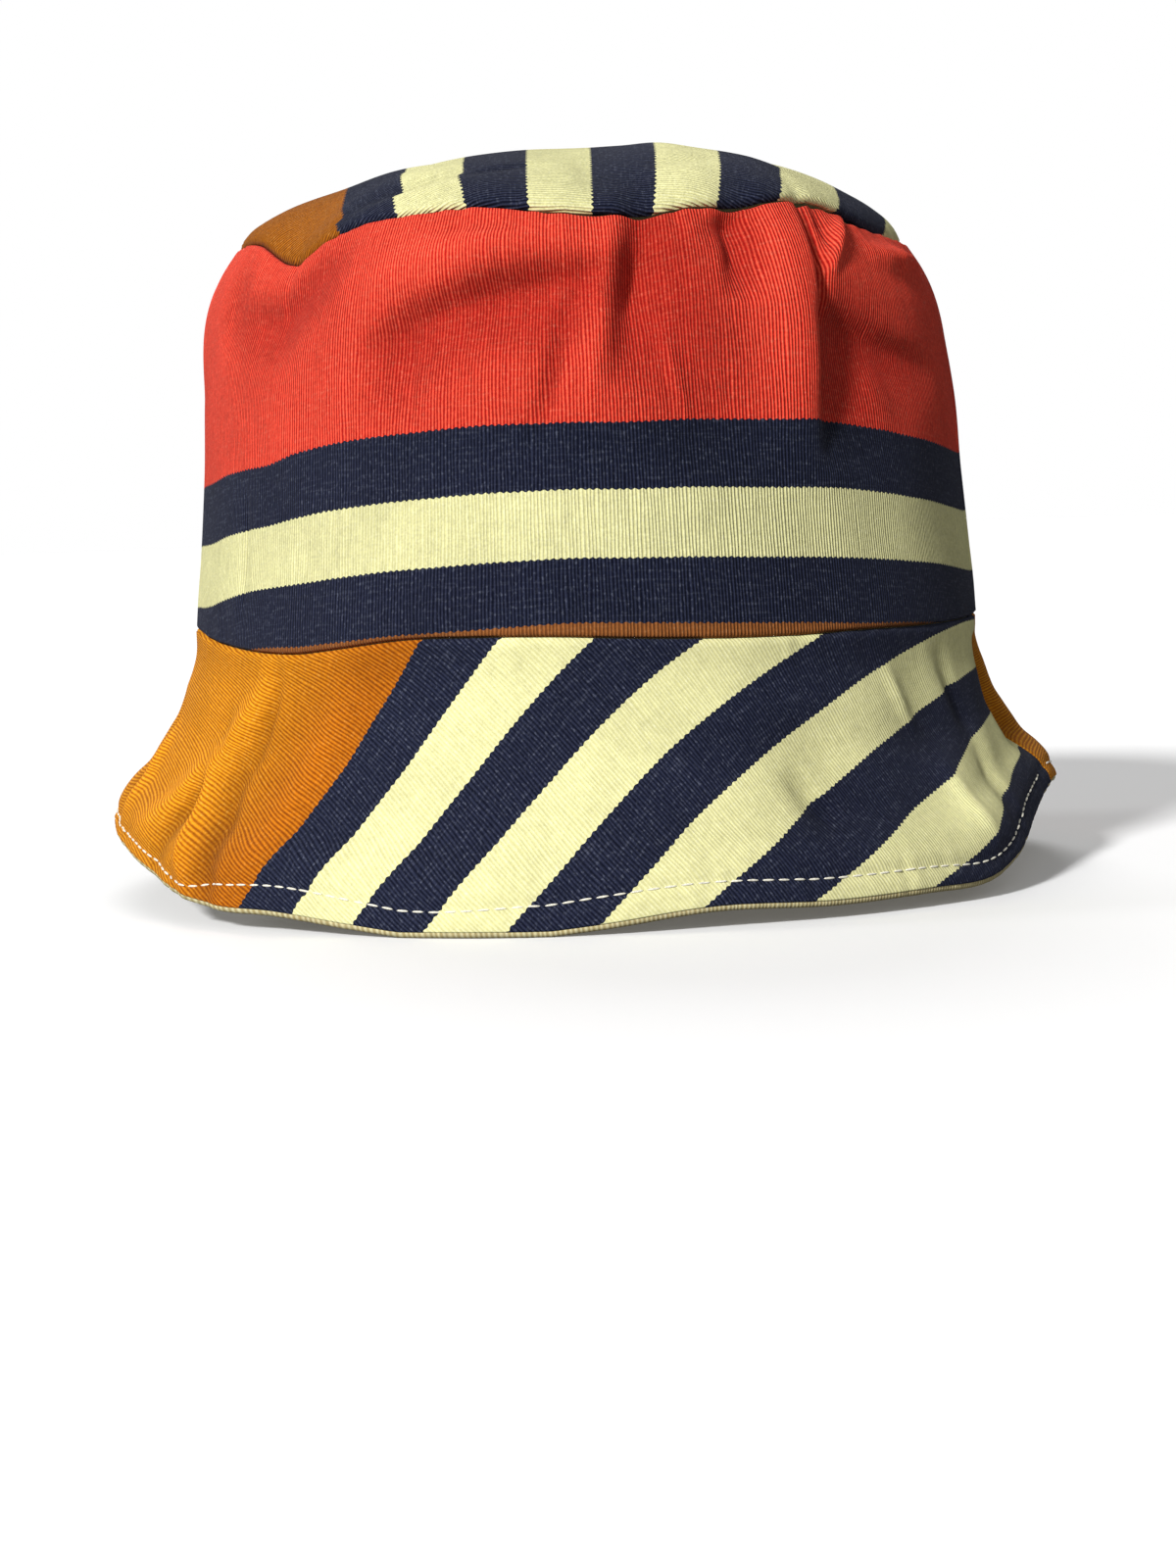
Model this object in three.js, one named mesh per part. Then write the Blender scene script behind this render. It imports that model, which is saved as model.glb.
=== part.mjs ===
// Reversible cotton bucket hat, adult size 58, standing on the edge of its brim.
// The pieces are sewn cloth: a flat-topped tip, a crown band in two halves that meet at the side
// seams, a sloping brim in two halves, and the reverse cloth's brim, in two halves, under it.
// Millimetres, +Z up. The front faces -Y, and the origin is on the floor below the crown's middle.
// Azimuth is in degrees from the front, positive towards +X.
import * as THREE from 'three';
import { mergeVertices } from 'three/addons/utils/BufferGeometryUtils.js';

// Cloth and gaps
const CROWN_WALL = 2.0;
const BRIM_CLOTH = 1.0;
const CLOTH_GAP = 0.3;
const LAYER_GAP = 0.9;
const SEAM_GAP_DEGREES = 0.18;

// Side seams: the hat is turned a little, so its right seam shows from the front
const RIGHT_SEAM = 80;
const LEFT_SEAM = -100;
const BACK_END = LEFT_SEAM + 360;

// Crown
const TIP_PLANE = 140;
const MILLIMETRES_PER_DEGREE = 1.63;

// Brim: the upper cloth stops short of the edge, and the reverse cloth turns up below it
const UPPER_CLOTH_END = 0.97;
const TURN_START = 0.975;
const TURN_END = 0.981;
const TURN_INSET = 0.1;

// Steps round the hat, the same on every piece so that neighbours' edges match, and the rows on
// each wall: parts of the band's height from below, and of the brim's drop from above
const FRONT_STEPS = 54;
const BACK_STEPS = 22;
const BAND_ROWS = [0, 0.14, 0.3, 0.48, 0.64, 0.77, 0.86, 0.93, 1];
const BRIM_ROWS = [0, 0.2, 0.4, 0.58, 0.74, 0.87];

// The band's sections: part of its height, the oval's half width and half depth, and how far the
// cloth's outer face leans back from upright, in degrees
const BAND_SECTIONS = [
  { part: 0.0, halfWidth: 86.8, halfDepth: 100.0, lean: 5 },
  { part: 0.08, halfWidth: 86.2, halfDepth: 99.4, lean: 5 },
  { part: 0.2, halfWidth: 85.0, halfDepth: 98.5, lean: 4 },
  { part: 0.4, halfWidth: 83.6, halfDepth: 97.3, lean: 3 },
  { part: 0.6, halfWidth: 82.9, halfDepth: 96.4, lean: 3 },
  { part: 0.75, halfWidth: 81.7, halfDepth: 95.0, lean: 7 },
  { part: 0.83, halfWidth: 80.4, halfDepth: 93.5, lean: 13 },
  { part: 0.89, halfWidth: 78.8, halfDepth: 91.7, lean: 20 },
  { part: 0.94, halfWidth: 76.8, halfDepth: 89.5, lean: 27 },
  { part: 1.0, halfWidth: 73.6, halfDepth: 86.0, lean: 33 },
];

// The tip's sections, from its middle to its seam: part of the oval's reach, rise and lean
const TIP_SECTIONS = [
  { reach: 0.0, rise: 19.5, lean: 90 },
  { reach: 0.3, rise: 18.9, lean: 85 },
  { reach: 0.54, rise: 16.7, lean: 77 },
  { reach: 0.7, rise: 14.0, lean: 70 },
  { reach: 0.82, rise: 10.9, lean: 60 },
  { reach: 0.91, rise: 7.4, lean: 49 },
  { reach: 0.97, rise: 3.6, lean: 39 },
  { reach: 1.0, rise: 0.0, lean: 33 },
];

// Heights of the two seams that run round the crown. The tip's seam dips at the left front.
const ROUND_SEAMS = [
  { azimuth: -170, brimSeam: 56.0, tipSeam: 140.0 },
  { azimuth: -140, brimSeam: 56.5, tipSeam: 140.5 },
  { azimuth: -110, brimSeam: 57.5, tipSeam: 139.5 },
  { azimuth: -90, brimSeam: 58.5, tipSeam: 139.8 },
  { azimuth: -76, brimSeam: 57.7, tipSeam: 140.5 },
  { azimuth: -65, brimSeam: 55.8, tipSeam: 139.7 },
  { azimuth: -51, brimSeam: 54.0, tipSeam: 133.8 },
  { azimuth: -43, brimSeam: 53.8, tipSeam: 137.8 },
  { azimuth: -36, brimSeam: 54.7, tipSeam: 139.9 },
  { azimuth: -25, brimSeam: 56.4, tipSeam: 141.1 },
  { azimuth: -14, brimSeam: 56.6, tipSeam: 141.4 },
  { azimuth: -4, brimSeam: 56.3, tipSeam: 139.7 },
  { azimuth: 6, brimSeam: 55.5, tipSeam: 138.9 },
  { azimuth: 16, brimSeam: 54.9, tipSeam: 140.2 },
  { azimuth: 28, brimSeam: 54.6, tipSeam: 140.4 },
  { azimuth: 40, brimSeam: 54.9, tipSeam: 141.9 },
  { azimuth: 54, brimSeam: 54.9, tipSeam: 140.1 },
  { azimuth: 71, brimSeam: 55.3, tipSeam: 138.1 },
  { azimuth: 90, brimSeam: 56.0, tipSeam: 137.5 },
  { azimuth: 110, brimSeam: 56.0, tipSeam: 139.0 },
  { azimuth: 140, brimSeam: 56.0, tipSeam: 140.0 },
];

// The brim's edge: how far it swings out from the crown, and its height. Where the height would
// be below the floor, the cloth lies flat on it.
const BRIM_EDGE = [
  { azimuth: -170, swing: 23.0, height: 1.5 },
  { azimuth: -150, swing: 24.0, height: -0.6 },
  { azimuth: -130, swing: 23.0, height: 4.0 },
  { azimuth: -108, swing: 21.0, height: 11.0 },
  { azimuth: -90, swing: 20.5, height: 15.5 },
  { azimuth: -82, swing: 20.4, height: 15.0 },
  { azimuth: -75, swing: 20.4, height: 13.5 },
  { azimuth: -66, swing: 20.6, height: 11.0 },
  { azimuth: -57, swing: 21.6, height: 8.0 },
  { azimuth: -50, swing: 23.1, height: 5.5 },
  { azimuth: -43, swing: 24.2, height: 3.7 },
  { azimuth: -35, swing: 23.0, height: 3.2 },
  { azimuth: -25, swing: 23.0, height: 1.2 },
  { azimuth: -17, swing: 23.0, height: -0.5 },
  { azimuth: -8, swing: 23.0, height: -0.5 },
  { azimuth: 0, swing: 22.5, height: 0.9 },
  { azimuth: 12, swing: 21.5, height: 3.3 },
  { azimuth: 25, swing: 21.5, height: 2.6 },
  { azimuth: 37, swing: 22.0, height: 2.9 },
  { azimuth: 46, swing: 22.1, height: 3.0 },
  { azimuth: 54, swing: 20.1, height: 6.0 },
  { azimuth: 61, swing: 17.2, height: 9.0 },
  { azimuth: 68, swing: 15.2, height: 12.0 },
  { azimuth: 75, swing: 15.1, height: 15.0 },
  { azimuth: 82, swing: 16.6, height: 17.2 },
  { azimuth: 90, swing: 18.5, height: 16.5 },
  { azimuth: 108, swing: 21.0, height: 11.0 },
  { azimuth: 130, swing: 23.0, height: 3.5 },
  { azimuth: 150, swing: 24.0, height: -0.6 },
  { azimuth: 170, swing: 23.0, height: 1.5 },
];

// How the brim flares on its way down: part of its drop, part of its swing, and lean
const BRIM_FLARE = [
  { part: 0.0, swing: 0.0, lean: 5 },
  { part: 0.13, swing: 0.012, lean: 7 },
  { part: 0.214, swing: 0.06, lean: 11 },
  { part: 0.29, swing: 0.122, lean: 16 },
  { part: 0.37, swing: 0.18, lean: 19 },
  { part: 0.45, swing: 0.25, lean: 22 },
  { part: 0.52, swing: 0.345, lean: 25 },
  { part: 0.6, swing: 0.455, lean: 28 },
  { part: 0.69, swing: 0.585, lean: 31 },
  { part: 0.76, swing: 0.75, lean: 31 },
  { part: 0.83, swing: 0.87, lean: 26 },
  { part: 0.92, swing: 0.95, lean: 12 },
  { part: 1.0, swing: 1.0, lean: 0 },
];

// Folds. Each runs from its upper to its lower end, both given as [azimuth, part of the band's
// height or the brim's drop]. It stands out by rise, or lies in where rise is negative, and fades
// over reach millimetres to each side.
const BAND_FOLDS = [
  { name: 'pull below the tip', upper: [8.5, 1.0], lower: [1.0, 0.46], reach: 5.5, rise: -3.0 },
  { name: 'ridge beside the pull', upper: [4.5, 0.97], lower: [-3.5, 0.42], reach: 5.0, rise: 1.4 },
  { name: 'long fold at the right', upper: [37.5, 1.0], lower: [34.5, 0.44], reach: 3.0, rise: -2.6 },
  { name: 'swell before the long fold', upper: [33.0, 0.95], lower: [30.0, 0.4], reach: 7.0, rise: 1.2 },
  { name: 'pocket past the long fold', upper: [41.0, 0.88], lower: [43.0, 0.5], reach: 8.0, rise: -1.6 },
  { name: 'swell at the right', upper: [51.0, 0.8], lower: [49.0, 0.38], reach: 8.0, rise: 1.4 },
  { name: 'dimple', upper: [22.3, 0.98], lower: [21.2, 0.76], reach: 3.5, rise: -1.8 },
  { name: 'groove to the left', upper: [0.0, 0.93], lower: [-24.0, 0.72], reach: 6.0, rise: -1.2 },
  { name: 'left shoulder', upper: [-33.0, 0.97], lower: [-52.0, 0.76], reach: 6.5, rise: -1.3 },
  { name: 'pucker at the right', upper: [45.0, 0.99], lower: [42.0, 0.82], reach: 3.5, rise: 1.8 },
  { name: 'outer pucker', upper: [51.0, 0.98], lower: [61.0, 0.84], reach: 3.5, rise: 1.5 },
  { name: 'crease low at the left', upper: [-56.5, 0.42], lower: [-56.0, 0.06], reach: 3.0, rise: -0.7 },
];
const BRIM_FOLDS = [
  { name: 'left ridge', upper: [-52, 0.04], lower: [-75, 1.0], reach: 6.0, rise: 1.3 },
  { name: 'left valley', upper: [-49, 0.1], lower: [-63, 1.0], reach: 6.0, rise: -1.5 },
  { name: 'left front ridge', upper: [-57, 0.3], lower: [-47, 1.0], reach: 4.5, rise: 1.6 },
  { name: 'tuck at the side seam', upper: [79, 0.22], lower: [80, 1.0], reach: 8.0, rise: -5.0 },
  { name: 'dent at the right', upper: [49, 0.1], lower: [47, 0.55], reach: 7.0, rise: -1.2 },
  { name: 'swell at the right', upper: [50, 0.45], lower: [49, 0.95], reach: 8.0, rise: 1.2 },
  { name: 'soft dent at the front', upper: [28, 0.25], lower: [25, 0.8], reach: 10.0, rise: -1.0 },
];

// Colours that lead on each piece
const CREAM = 0xe2dfb2;
const NAVY = 0x2a2b3c;
const CORAL = 0xec5041;
const OCHRE = 0xd0802a;
const REVERSE = 0xcdbf94;

// A table becomes a smooth curve through its rows, with one value for each further column.
function smoothTable(rows, along, columns) {
  const places = rows.map((row) => row[along]);
  const values = rows.flatMap((row) => columns.map((column) => row[column]));
  const curve = new THREE.CubicInterpolant(places, values, columns.length);
  const last = places.length - 1;
  return (place) => [...curve.evaluate(THREE.MathUtils.clamp(place, places[0], places[last]))];
}

function wrapped(azimuth) {
  return THREE.MathUtils.euclideanModulo(azimuth + 180, 360) - 180;
}

// A table round the hat repeats after a full turn.
function roundTable(rows, columns) {
  const turn = (row, degrees) => ({ ...row, azimuth: row.azimuth + degrees });
  const before = rows.slice(-2).map((row) => turn(row, -360));
  const after = rows.slice(0, 2).map((row) => turn(row, 360));
  const curve = smoothTable([...before, ...rows, ...after], 'azimuth', columns);
  return (azimuth) => curve(wrapped(azimuth));
}

const bandSection = smoothTable(BAND_SECTIONS, 'part', ['halfWidth', 'halfDepth', 'lean']);
const tipSection = smoothTable(TIP_SECTIONS, 'reach', ['rise', 'lean']);
const brimFlare = smoothTable(BRIM_FLARE, 'part', ['swing', 'lean']);
const roundSeams = roundTable(ROUND_SEAMS, ['brimSeam', 'tipSeam']);
const brimEdge = roundTable(BRIM_EDGE, ['swing', 'height']);

// How far the folds move the cloth at one place on a piece
function foldRise(folds, azimuth, part) {
  return folds.reduce((sum, fold) => {
    const [upperAzimuth, upperPart] = fold.upper;
    const [lowerAzimuth, lowerPart] = fold.lower;
    const along = (part - lowerPart) / (upperPart - lowerPart);
    if (along <= 0 || along >= 1) return sum;
    const middle = THREE.MathUtils.lerp(lowerAzimuth, upperAzimuth, along);
    const across = ((wrapped(azimuth) - middle) * MILLIMETRES_PER_DEGREE) / fold.reach;
    return sum + fold.rise * Math.sin(Math.PI * along) * Math.exp(-across * across);
  }, 0);
}

// A point of the cloth: on an oval round the crown, reach times its size, swung out level, and then
// moved by offset along the cloth's outward direction, which leans back from the level one.
function clothPoint({ azimuth, oval, reach = 1, swing = 0, lean, height, offset }) {
  const [halfWidth, halfDepth] = oval;
  const angle = THREE.MathUtils.degToRad(azimuth);
  const tilt = THREE.MathUtils.degToRad(lean);
  const level = new THREE.Vector3(Math.sin(angle) / halfWidth, -Math.cos(angle) / halfDepth, 0);
  return new THREE.Vector3(halfWidth * reach * Math.sin(angle), -halfDepth * reach * Math.cos(angle), height)
    .addScaledVector(level.normalize(), swing + offset * Math.cos(tilt))
    .add(new THREE.Vector3(0, 0, offset * Math.sin(tilt)));
}

// The three cloth surfaces. Depth is measured inwards from the outer face.
function bandPoint(azimuth, part, depth) {
  const [halfWidth, halfDepth, lean] = bandSection(part);
  const [low, high] = roundSeams(azimuth);
  const height = THREE.MathUtils.lerp(low, high, part);
  const offset = foldRise(BAND_FOLDS, azimuth, part) - depth;
  return clothPoint({ azimuth, oval: [halfWidth, halfDepth], lean, height, offset });
}

function tipPoint(azimuth, reach, depth) {
  const [rise, lean] = tipSection(reach);
  const dip = (roundSeams(azimuth)[1] - TIP_PLANE) * reach ** 3;
  const height = TIP_PLANE + CLOTH_GAP + dip + rise;
  return clothPoint({ azimuth, oval: bandSection(1), reach, lean, height, offset: -depth });
}

function brimPoint(azimuth, part, depth) {
  const [edgeSwing, foot] = brimEdge(azimuth);
  const [share, lean] = brimFlare(part);
  const seam = roundSeams(azimuth)[0] - CLOTH_GAP;
  const height = Math.max(THREE.MathUtils.lerp(seam, foot, part), 0);
  const swing = edgeSwing * share + foldRise(BRIM_FOLDS, azimuth, part);
  return clothPoint({ azimuth, oval: bandSection(0), swing, lean, height, offset: -depth });
}

// Every vertex of a closed mesh is moved by a mould, and shared vertices are merged.
function moulded(geometry, mould) {
  geometry.deleteAttribute('normal');
  geometry.deleteAttribute('uv');
  const place = geometry.attributes.position;
  const corner = new THREE.Vector3();
  for (let index = 0; index < place.count; index += 1) {
    corner.copy(mould(corner.fromBufferAttribute(place, index)));
    place.setXYZ(index, corner.x, corner.y, corner.z);
  }
  const closed = mergeVertices(geometry, 1e-4);
  closed.computeVertexNormals();
  return closed;
}

// A wall panel between two azimuths. Rows are its parts from the lower to the upper edge of the
// box, and faceDepths gives the depth of the outer and the inner face at each row.
function wallPanel(from, to, steps, rows, point, faceDepths) {
  const panel = new THREE.BoxGeometry(1, 1, 1, steps, rows.length - 1, 1);
  return moulded(panel, ({ x, y, z }) => {
    const azimuth = THREE.MathUtils.lerp(from + SEAM_GAP_DEGREES / 2, to - SEAM_GAP_DEGREES / 2, x + 0.5);
    const row = Math.round((y + 0.5) * (rows.length - 1));
    const [outer, inner] = faceDepths(row);
    return point(azimuth, rows[row], z > 0 ? outer : inner);
  });
}

// The tip is turned from a closed profile. Its radius is the reach, its height marks the face, and
// its steps round the axis become those of the two halves below it.
function tipShell() {
  const reaches = TIP_SECTIONS.map((section) => section.reach);
  const inner = reaches.map((reach) => new THREE.Vector2(reach, 0));
  const outer = reaches.toReversed().map((reach) => new THREE.Vector2(reach, 1));
  const steps = FRONT_STEPS + BACK_STEPS;
  const shell = new THREE.LatheGeometry([...inner, ...outer], steps);
  return moulded(shell, ({ x, y, z }) => {
    const turn = THREE.MathUtils.euclideanModulo(Math.atan2(x, z) / (2 * Math.PI), 1);
    const step = Math.round(turn * steps);
    const azimuth = step <= FRONT_STEPS
      ? THREE.MathUtils.lerp(LEFT_SEAM, RIGHT_SEAM, step / FRONT_STEPS)
      : THREE.MathUtils.lerp(RIGHT_SEAM, BACK_END, (step - FRONT_STEPS) / BACK_STEPS);
    return tipPoint(azimuth, Math.min(Math.hypot(x, z), 1), y > 0.5 ? 0 : CROWN_WALL);
  });
}

function bandHalf(from, to, steps) {
  return wallPanel(from, to, steps, BAND_ROWS, bandPoint, () => [0, CROWN_WALL]);
}

// The brim's rows run down from the crown, so its panels are built from the edge up.
function upperBrimHalf(from, to, steps) {
  const rows = [UPPER_CLOTH_END, ...BRIM_ROWS.toReversed()];
  return wallPanel(from, to, steps, rows, brimPoint, () => [0, BRIM_CLOTH]);
}

function underBrimHalf(from, to, steps) {
  const rows = [1, TURN_END, TURN_START, ...BRIM_ROWS.toReversed()];
  const top = BRIM_CLOTH + LAYER_GAP;
  return wallPanel(from, to, steps, rows, brimPoint, (row) => [
    rows[row] >= TURN_END ? TURN_INSET : top,
    top + BRIM_CLOTH,
  ]);
}

// The hat
const hat = new THREE.Group();

function addPiece(name, geometry, color, roughness) {
  const cloth = new THREE.MeshStandardMaterial({ color, roughness, metalness: 0 });
  const piece = new THREE.Mesh(geometry, cloth);
  piece.name = name;
  hat.add(piece);
}

addPiece('crown_tip', tipShell(), CREAM, 0.85);
addPiece('crown_band_front', bandHalf(LEFT_SEAM, RIGHT_SEAM, FRONT_STEPS), CORAL, 0.8);
addPiece('crown_band_back', bandHalf(RIGHT_SEAM, BACK_END, BACK_STEPS), CORAL, 0.8);
addPiece('brim_front', upperBrimHalf(LEFT_SEAM, RIGHT_SEAM, FRONT_STEPS), NAVY, 0.85);
addPiece('brim_back', upperBrimHalf(RIGHT_SEAM, BACK_END, BACK_STEPS), OCHRE, 0.85);
addPiece('brim_underside_front', underBrimHalf(LEFT_SEAM, RIGHT_SEAM, FRONT_STEPS), REVERSE, 0.9);
addPiece('brim_underside_back', underBrimHalf(RIGHT_SEAM, BACK_END, BACK_STEPS), REVERSE, 0.9);

export default hat;
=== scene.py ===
"""Reversible striped cotton bucket hat, standing on the edge of its brim.

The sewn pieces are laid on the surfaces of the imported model's panels, and carry the finer folds,
turned edges, topstitching and woven stripes of the cloth. Sizes are in millimetres and azimuths in
degrees from the front, positive towards +X. The meshes themselves are in metres.
"""

import logging
import math
from dataclasses import dataclass, field
from enum import Enum

import bmesh
import bpy
import numpy as np
from mathutils import Matrix, Vector


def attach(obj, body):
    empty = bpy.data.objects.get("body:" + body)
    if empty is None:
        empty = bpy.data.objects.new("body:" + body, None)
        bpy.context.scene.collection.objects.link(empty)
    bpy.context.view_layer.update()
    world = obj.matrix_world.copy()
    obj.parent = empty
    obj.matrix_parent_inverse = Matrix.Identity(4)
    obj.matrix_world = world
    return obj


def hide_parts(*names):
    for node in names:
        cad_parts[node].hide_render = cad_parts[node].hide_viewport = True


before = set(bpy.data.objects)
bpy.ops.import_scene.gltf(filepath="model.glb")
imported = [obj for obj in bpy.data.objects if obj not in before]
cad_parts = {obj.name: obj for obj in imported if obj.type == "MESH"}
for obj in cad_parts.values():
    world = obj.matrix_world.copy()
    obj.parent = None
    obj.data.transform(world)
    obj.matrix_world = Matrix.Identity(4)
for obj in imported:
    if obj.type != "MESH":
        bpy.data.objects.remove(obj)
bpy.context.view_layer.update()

LOG = logging.getLogger("hat")
Array = np.ndarray
Laid = tuple[Array, Array, Array]
Oval = tuple[Array | float, Array | float]
Level = tuple[Array | float, Array | float, Array]
Rows = tuple[tuple[float, ...], ...]
Colour = tuple[float, float, float]
Setting = str | float | bool | tuple
MM = 0.001
TURN = 360.0
CLOTH_MAP = "cloth"
FOLD_ATTRIBUTE = "folds"

# The band: part of its height, the oval's half width and half depth, and how far the cloth leans
BAND_SECTIONS: Rows = (
    (0.0, 86.8, 100.0, 5),
    (0.08, 86.2, 99.4, 5),
    (0.2, 85.0, 98.5, 4),
    (0.4, 83.6, 97.3, 3),
    (0.6, 82.9, 96.4, 3),
    (0.75, 81.7, 95.0, 7),
    (0.83, 80.4, 93.5, 13),
    (0.89, 78.8, 91.7, 20),
    (0.94, 76.8, 89.5, 27),
    (1.0, 73.6, 86.0, 33),
)
# The tip: part of the oval's reach, rise above the seam, and lean
TIP_SECTIONS: Rows = (
    (0.0, 18.9, 90),
    (0.3, 18.3, 85),
    (0.54, 16.1, 77),
    (0.7, 13.3, 70),
    (0.82, 10.3, 60),
    (0.91, 6.9, 49),
    (0.97, 3.4, 39),
    (1.0, 0.0, 33),
)
# The seams round the crown: azimuth, height of the brim's seam, height of the tip's seam
ROUND_SEAMS: Rows = (
    (-170, 56.0, 140.0),
    (-140, 56.5, 140.5),
    (-110, 57.5, 139.5),
    (-90, 58.5, 139.8),
    (-76, 57.7, 140.5),
    (-65, 55.8, 139.7),
    (-51, 54.0, 133.8),
    (-43, 53.8, 137.8),
    (-36, 54.7, 139.9),
    (-25, 56.4, 141.1),
    (-14, 56.6, 141.4),
    (-4, 56.3, 139.7),
    (6, 55.5, 138.9),
    (16, 54.9, 140.2),
    (28, 54.6, 140.4),
    (40, 54.9, 141.7),
    (48, 54.9, 139.6),
    (55, 54.9, 137.8),
    (71, 55.3, 136.6),
    (90, 56.0, 137.5),
    (110, 56.0, 139.0),
    (140, 56.0, 140.0),
)
# The brim's edge: azimuth, how far it swings out from the crown, and its height
BRIM_EDGE: Rows = (
    (-170, 23.0, 1.5),
    (-150, 24.0, -0.6),
    (-130, 23.0, 4.0),
    (-108, 21.0, 11.0),
    (-90, 20.5, 15.5),
    (-82, 20.4, 15.0),
    (-75, 20.4, 13.5),
    (-66, 20.6, 11.0),
    (-57, 21.6, 8.0),
    (-50, 23.1, 5.5),
    (-43, 24.2, 3.7),
    (-35, 23.0, 3.2),
    (-25, 23.0, 1.2),
    (-17, 23.0, -0.5),
    (-8, 23.0, -0.5),
    (0, 22.5, 0.9),
    (12, 21.5, 3.3),
    (25, 21.5, 2.6),
    (37, 22.0, 2.9),
    (46, 22.1, 3.0),
    (54, 20.1, 6.0),
    (61, 17.2, 9.0),
    (68, 15.2, 12.0),
    (75, 15.1, 15.0),
    (82, 16.6, 17.2),
    (90, 18.5, 16.5),
    (108, 21.0, 11.0),
    (130, 23.0, 3.5),
    (150, 24.0, -0.6),
    (170, 23.0, 1.5),
)
# How the brim flares on its way down: part of its drop, part of its swing, and lean
BRIM_FLARE: Rows = (
    (0.0, 0.0, 5),
    (0.13, 0.012, 7),
    (0.214, 0.06, 11),
    (0.29, 0.122, 16),
    (0.37, 0.18, 19),
    (0.45, 0.25, 22),
    (0.52, 0.345, 25),
    (0.6, 0.455, 28),
    (0.69, 0.585, 31),
    (0.76, 0.75, 31),
    (0.83, 0.87, 26),
    (0.92, 0.95, 12),
    (1.0, 1.0, 0),
)
# How far the band turns in under the tip: azimuth and radius. It is pulled in most at the folds.
BAND_TURN: Rows = (
    (-170, 1.0),
    (-60, 1.0),
    (-10, 1.0),
    (-3, 1.3),
    (2, 1.7),
    (5, 1.5),
    (9, 0.9),
    (14, 1.2),
    (18, 1.0),
    (38, 1.0),
    (44, 1.6),
    (48, 2.8),
    (53, 1.8),
    (62, 1.0),
    (150, 1.0),
)
# How far the tip's edge lies over the band: azimuth and overhang
TIP_OVERHANG: Rows = (
    (-170, 0.5),
    (-60, 0.4),
    (-10, 0.3),
    (-2, 0.6),
    (4, 1.0),
    (10, 0.9),
    (16, 0.6),
    (28, 0.5),
    (38, 0.6),
    (44, 1.4),
    (52, 1.2),
    (58, 0.4),
    (66, -0.8),
    (90, -0.6),
    (110, 0.3),
    (150, 0.5),
)
# How far the band's stripes lie below their place on the flat cloth: azimuth and distance
STRIPE_SAG: Rows = (
    (-100, 13.5),
    (-80, 11.0),
    (-70, 9.4),
    (-60, 5.4),
    (-55, 3.2),
    (-50, 2.0),
    (-40, 1.7),
    (-30, 2.0),
    (-22, 2.1),
    (-10, 1.2),
    (0, 0.2),
    (10, 0.0),
    (20, 0.2),
    (30, 0.7),
    (40, 1.8),
    (50, 2.3),
    (60, 3.2),
    (70, 4.8),
    (80, 6.0),
    (110, 3.2),
    (140, 1.2),
    (170, 0.3),
    (200, 0.8),
    (230, 3.6),
    (260, 9.0),
)
# The topstitching: azimuth and part of the brim's drop
STITCH_LINE: Rows = (
    (-150, 0.9),
    (-100, 0.91),
    (-79, 0.93),
    (-65, 0.92),
    (-55, 0.935),
    (-48, 0.935),
    (-44, 0.9),
    (-39, 0.885),
    (-31, 0.885),
    (-23, 0.9),
    (-16, 0.91),
    (-6, 0.892),
    (3, 0.882),
    (15, 0.89),
    (39, 0.9),
    (50, 0.915),
    (57, 0.9),
    (63, 0.87),
    (77, 0.875),
    (100, 0.9),
    (150, 0.9),
)


class SmoothTable:
    """A smooth curve through the rows of a table, with one value for each further column."""

    def __init__(self, rows: Rows, turn: float = 0.0) -> None:
        """Works out the slope at each row.

        Args:
            rows: A place along the curve, and then the values there.
            turn: The length after which the curve repeats, or 0 where it doesn't.
        """
        table = np.array(rows, float)
        if turn:
            shift = np.zeros(table.shape[1])
            shift[0] = turn
            table = np.vstack([table[-2:] - shift, table, table[:2] + shift])
        self.places = table[:, 0]
        self.values = table[:, 1:]
        secants = np.diff(self.values, axis=0) / np.diff(self.places)[:, None]
        inner = (secants[1:] + secants[:-1]) / 2
        self.slopes = np.vstack([secants[:1], inner, secants[-1:]])

    def __call__(self, place: Array) -> list[Array]:
        """Reads the curve.

        Args:
            place: Places along the curve.

        Returns:
            The values of each column at the places.
        """
        place = np.clip(place, self.places[0], self.places[-1])
        row = np.searchsorted(self.places, place, "right") - 1
        row = np.clip(row, 0, len(self.places) - 2)
        width = self.places[row + 1] - self.places[row]
        along = (place - self.places[row]) / width
        read = []
        for column in range(self.values.shape[1]):
            start = self.values[row, column]
            gain = self.values[row + 1, column] - start
            leave = self.slopes[row, column] * width
            arrive = self.slopes[row + 1, column] * width
            bend = 3 * gain - 2 * leave - arrive + along * (leave + arrive - 2 * gain)
            read.append(start + along * (leave + along * bend))
        return read


def wrapped(azimuth: Array) -> Array:
    """Returns the azimuth between -180 and 180 degrees."""
    return (azimuth + TURN / 2) % TURN - TURN / 2


def turned_in(distance: Array, radius: Array | float) -> Array:
    """How far cloth lies in where it is turned round an edge.

    Args:
        distance: Distance from the edge.
        radius: Radius of the turn.

    Returns:
        The depth below the flat cloth.
    """
    left = np.clip(radius - distance, 0, radius)
    return radius - np.sqrt(np.maximum(np.square(radius) - np.square(left), 0))


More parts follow.
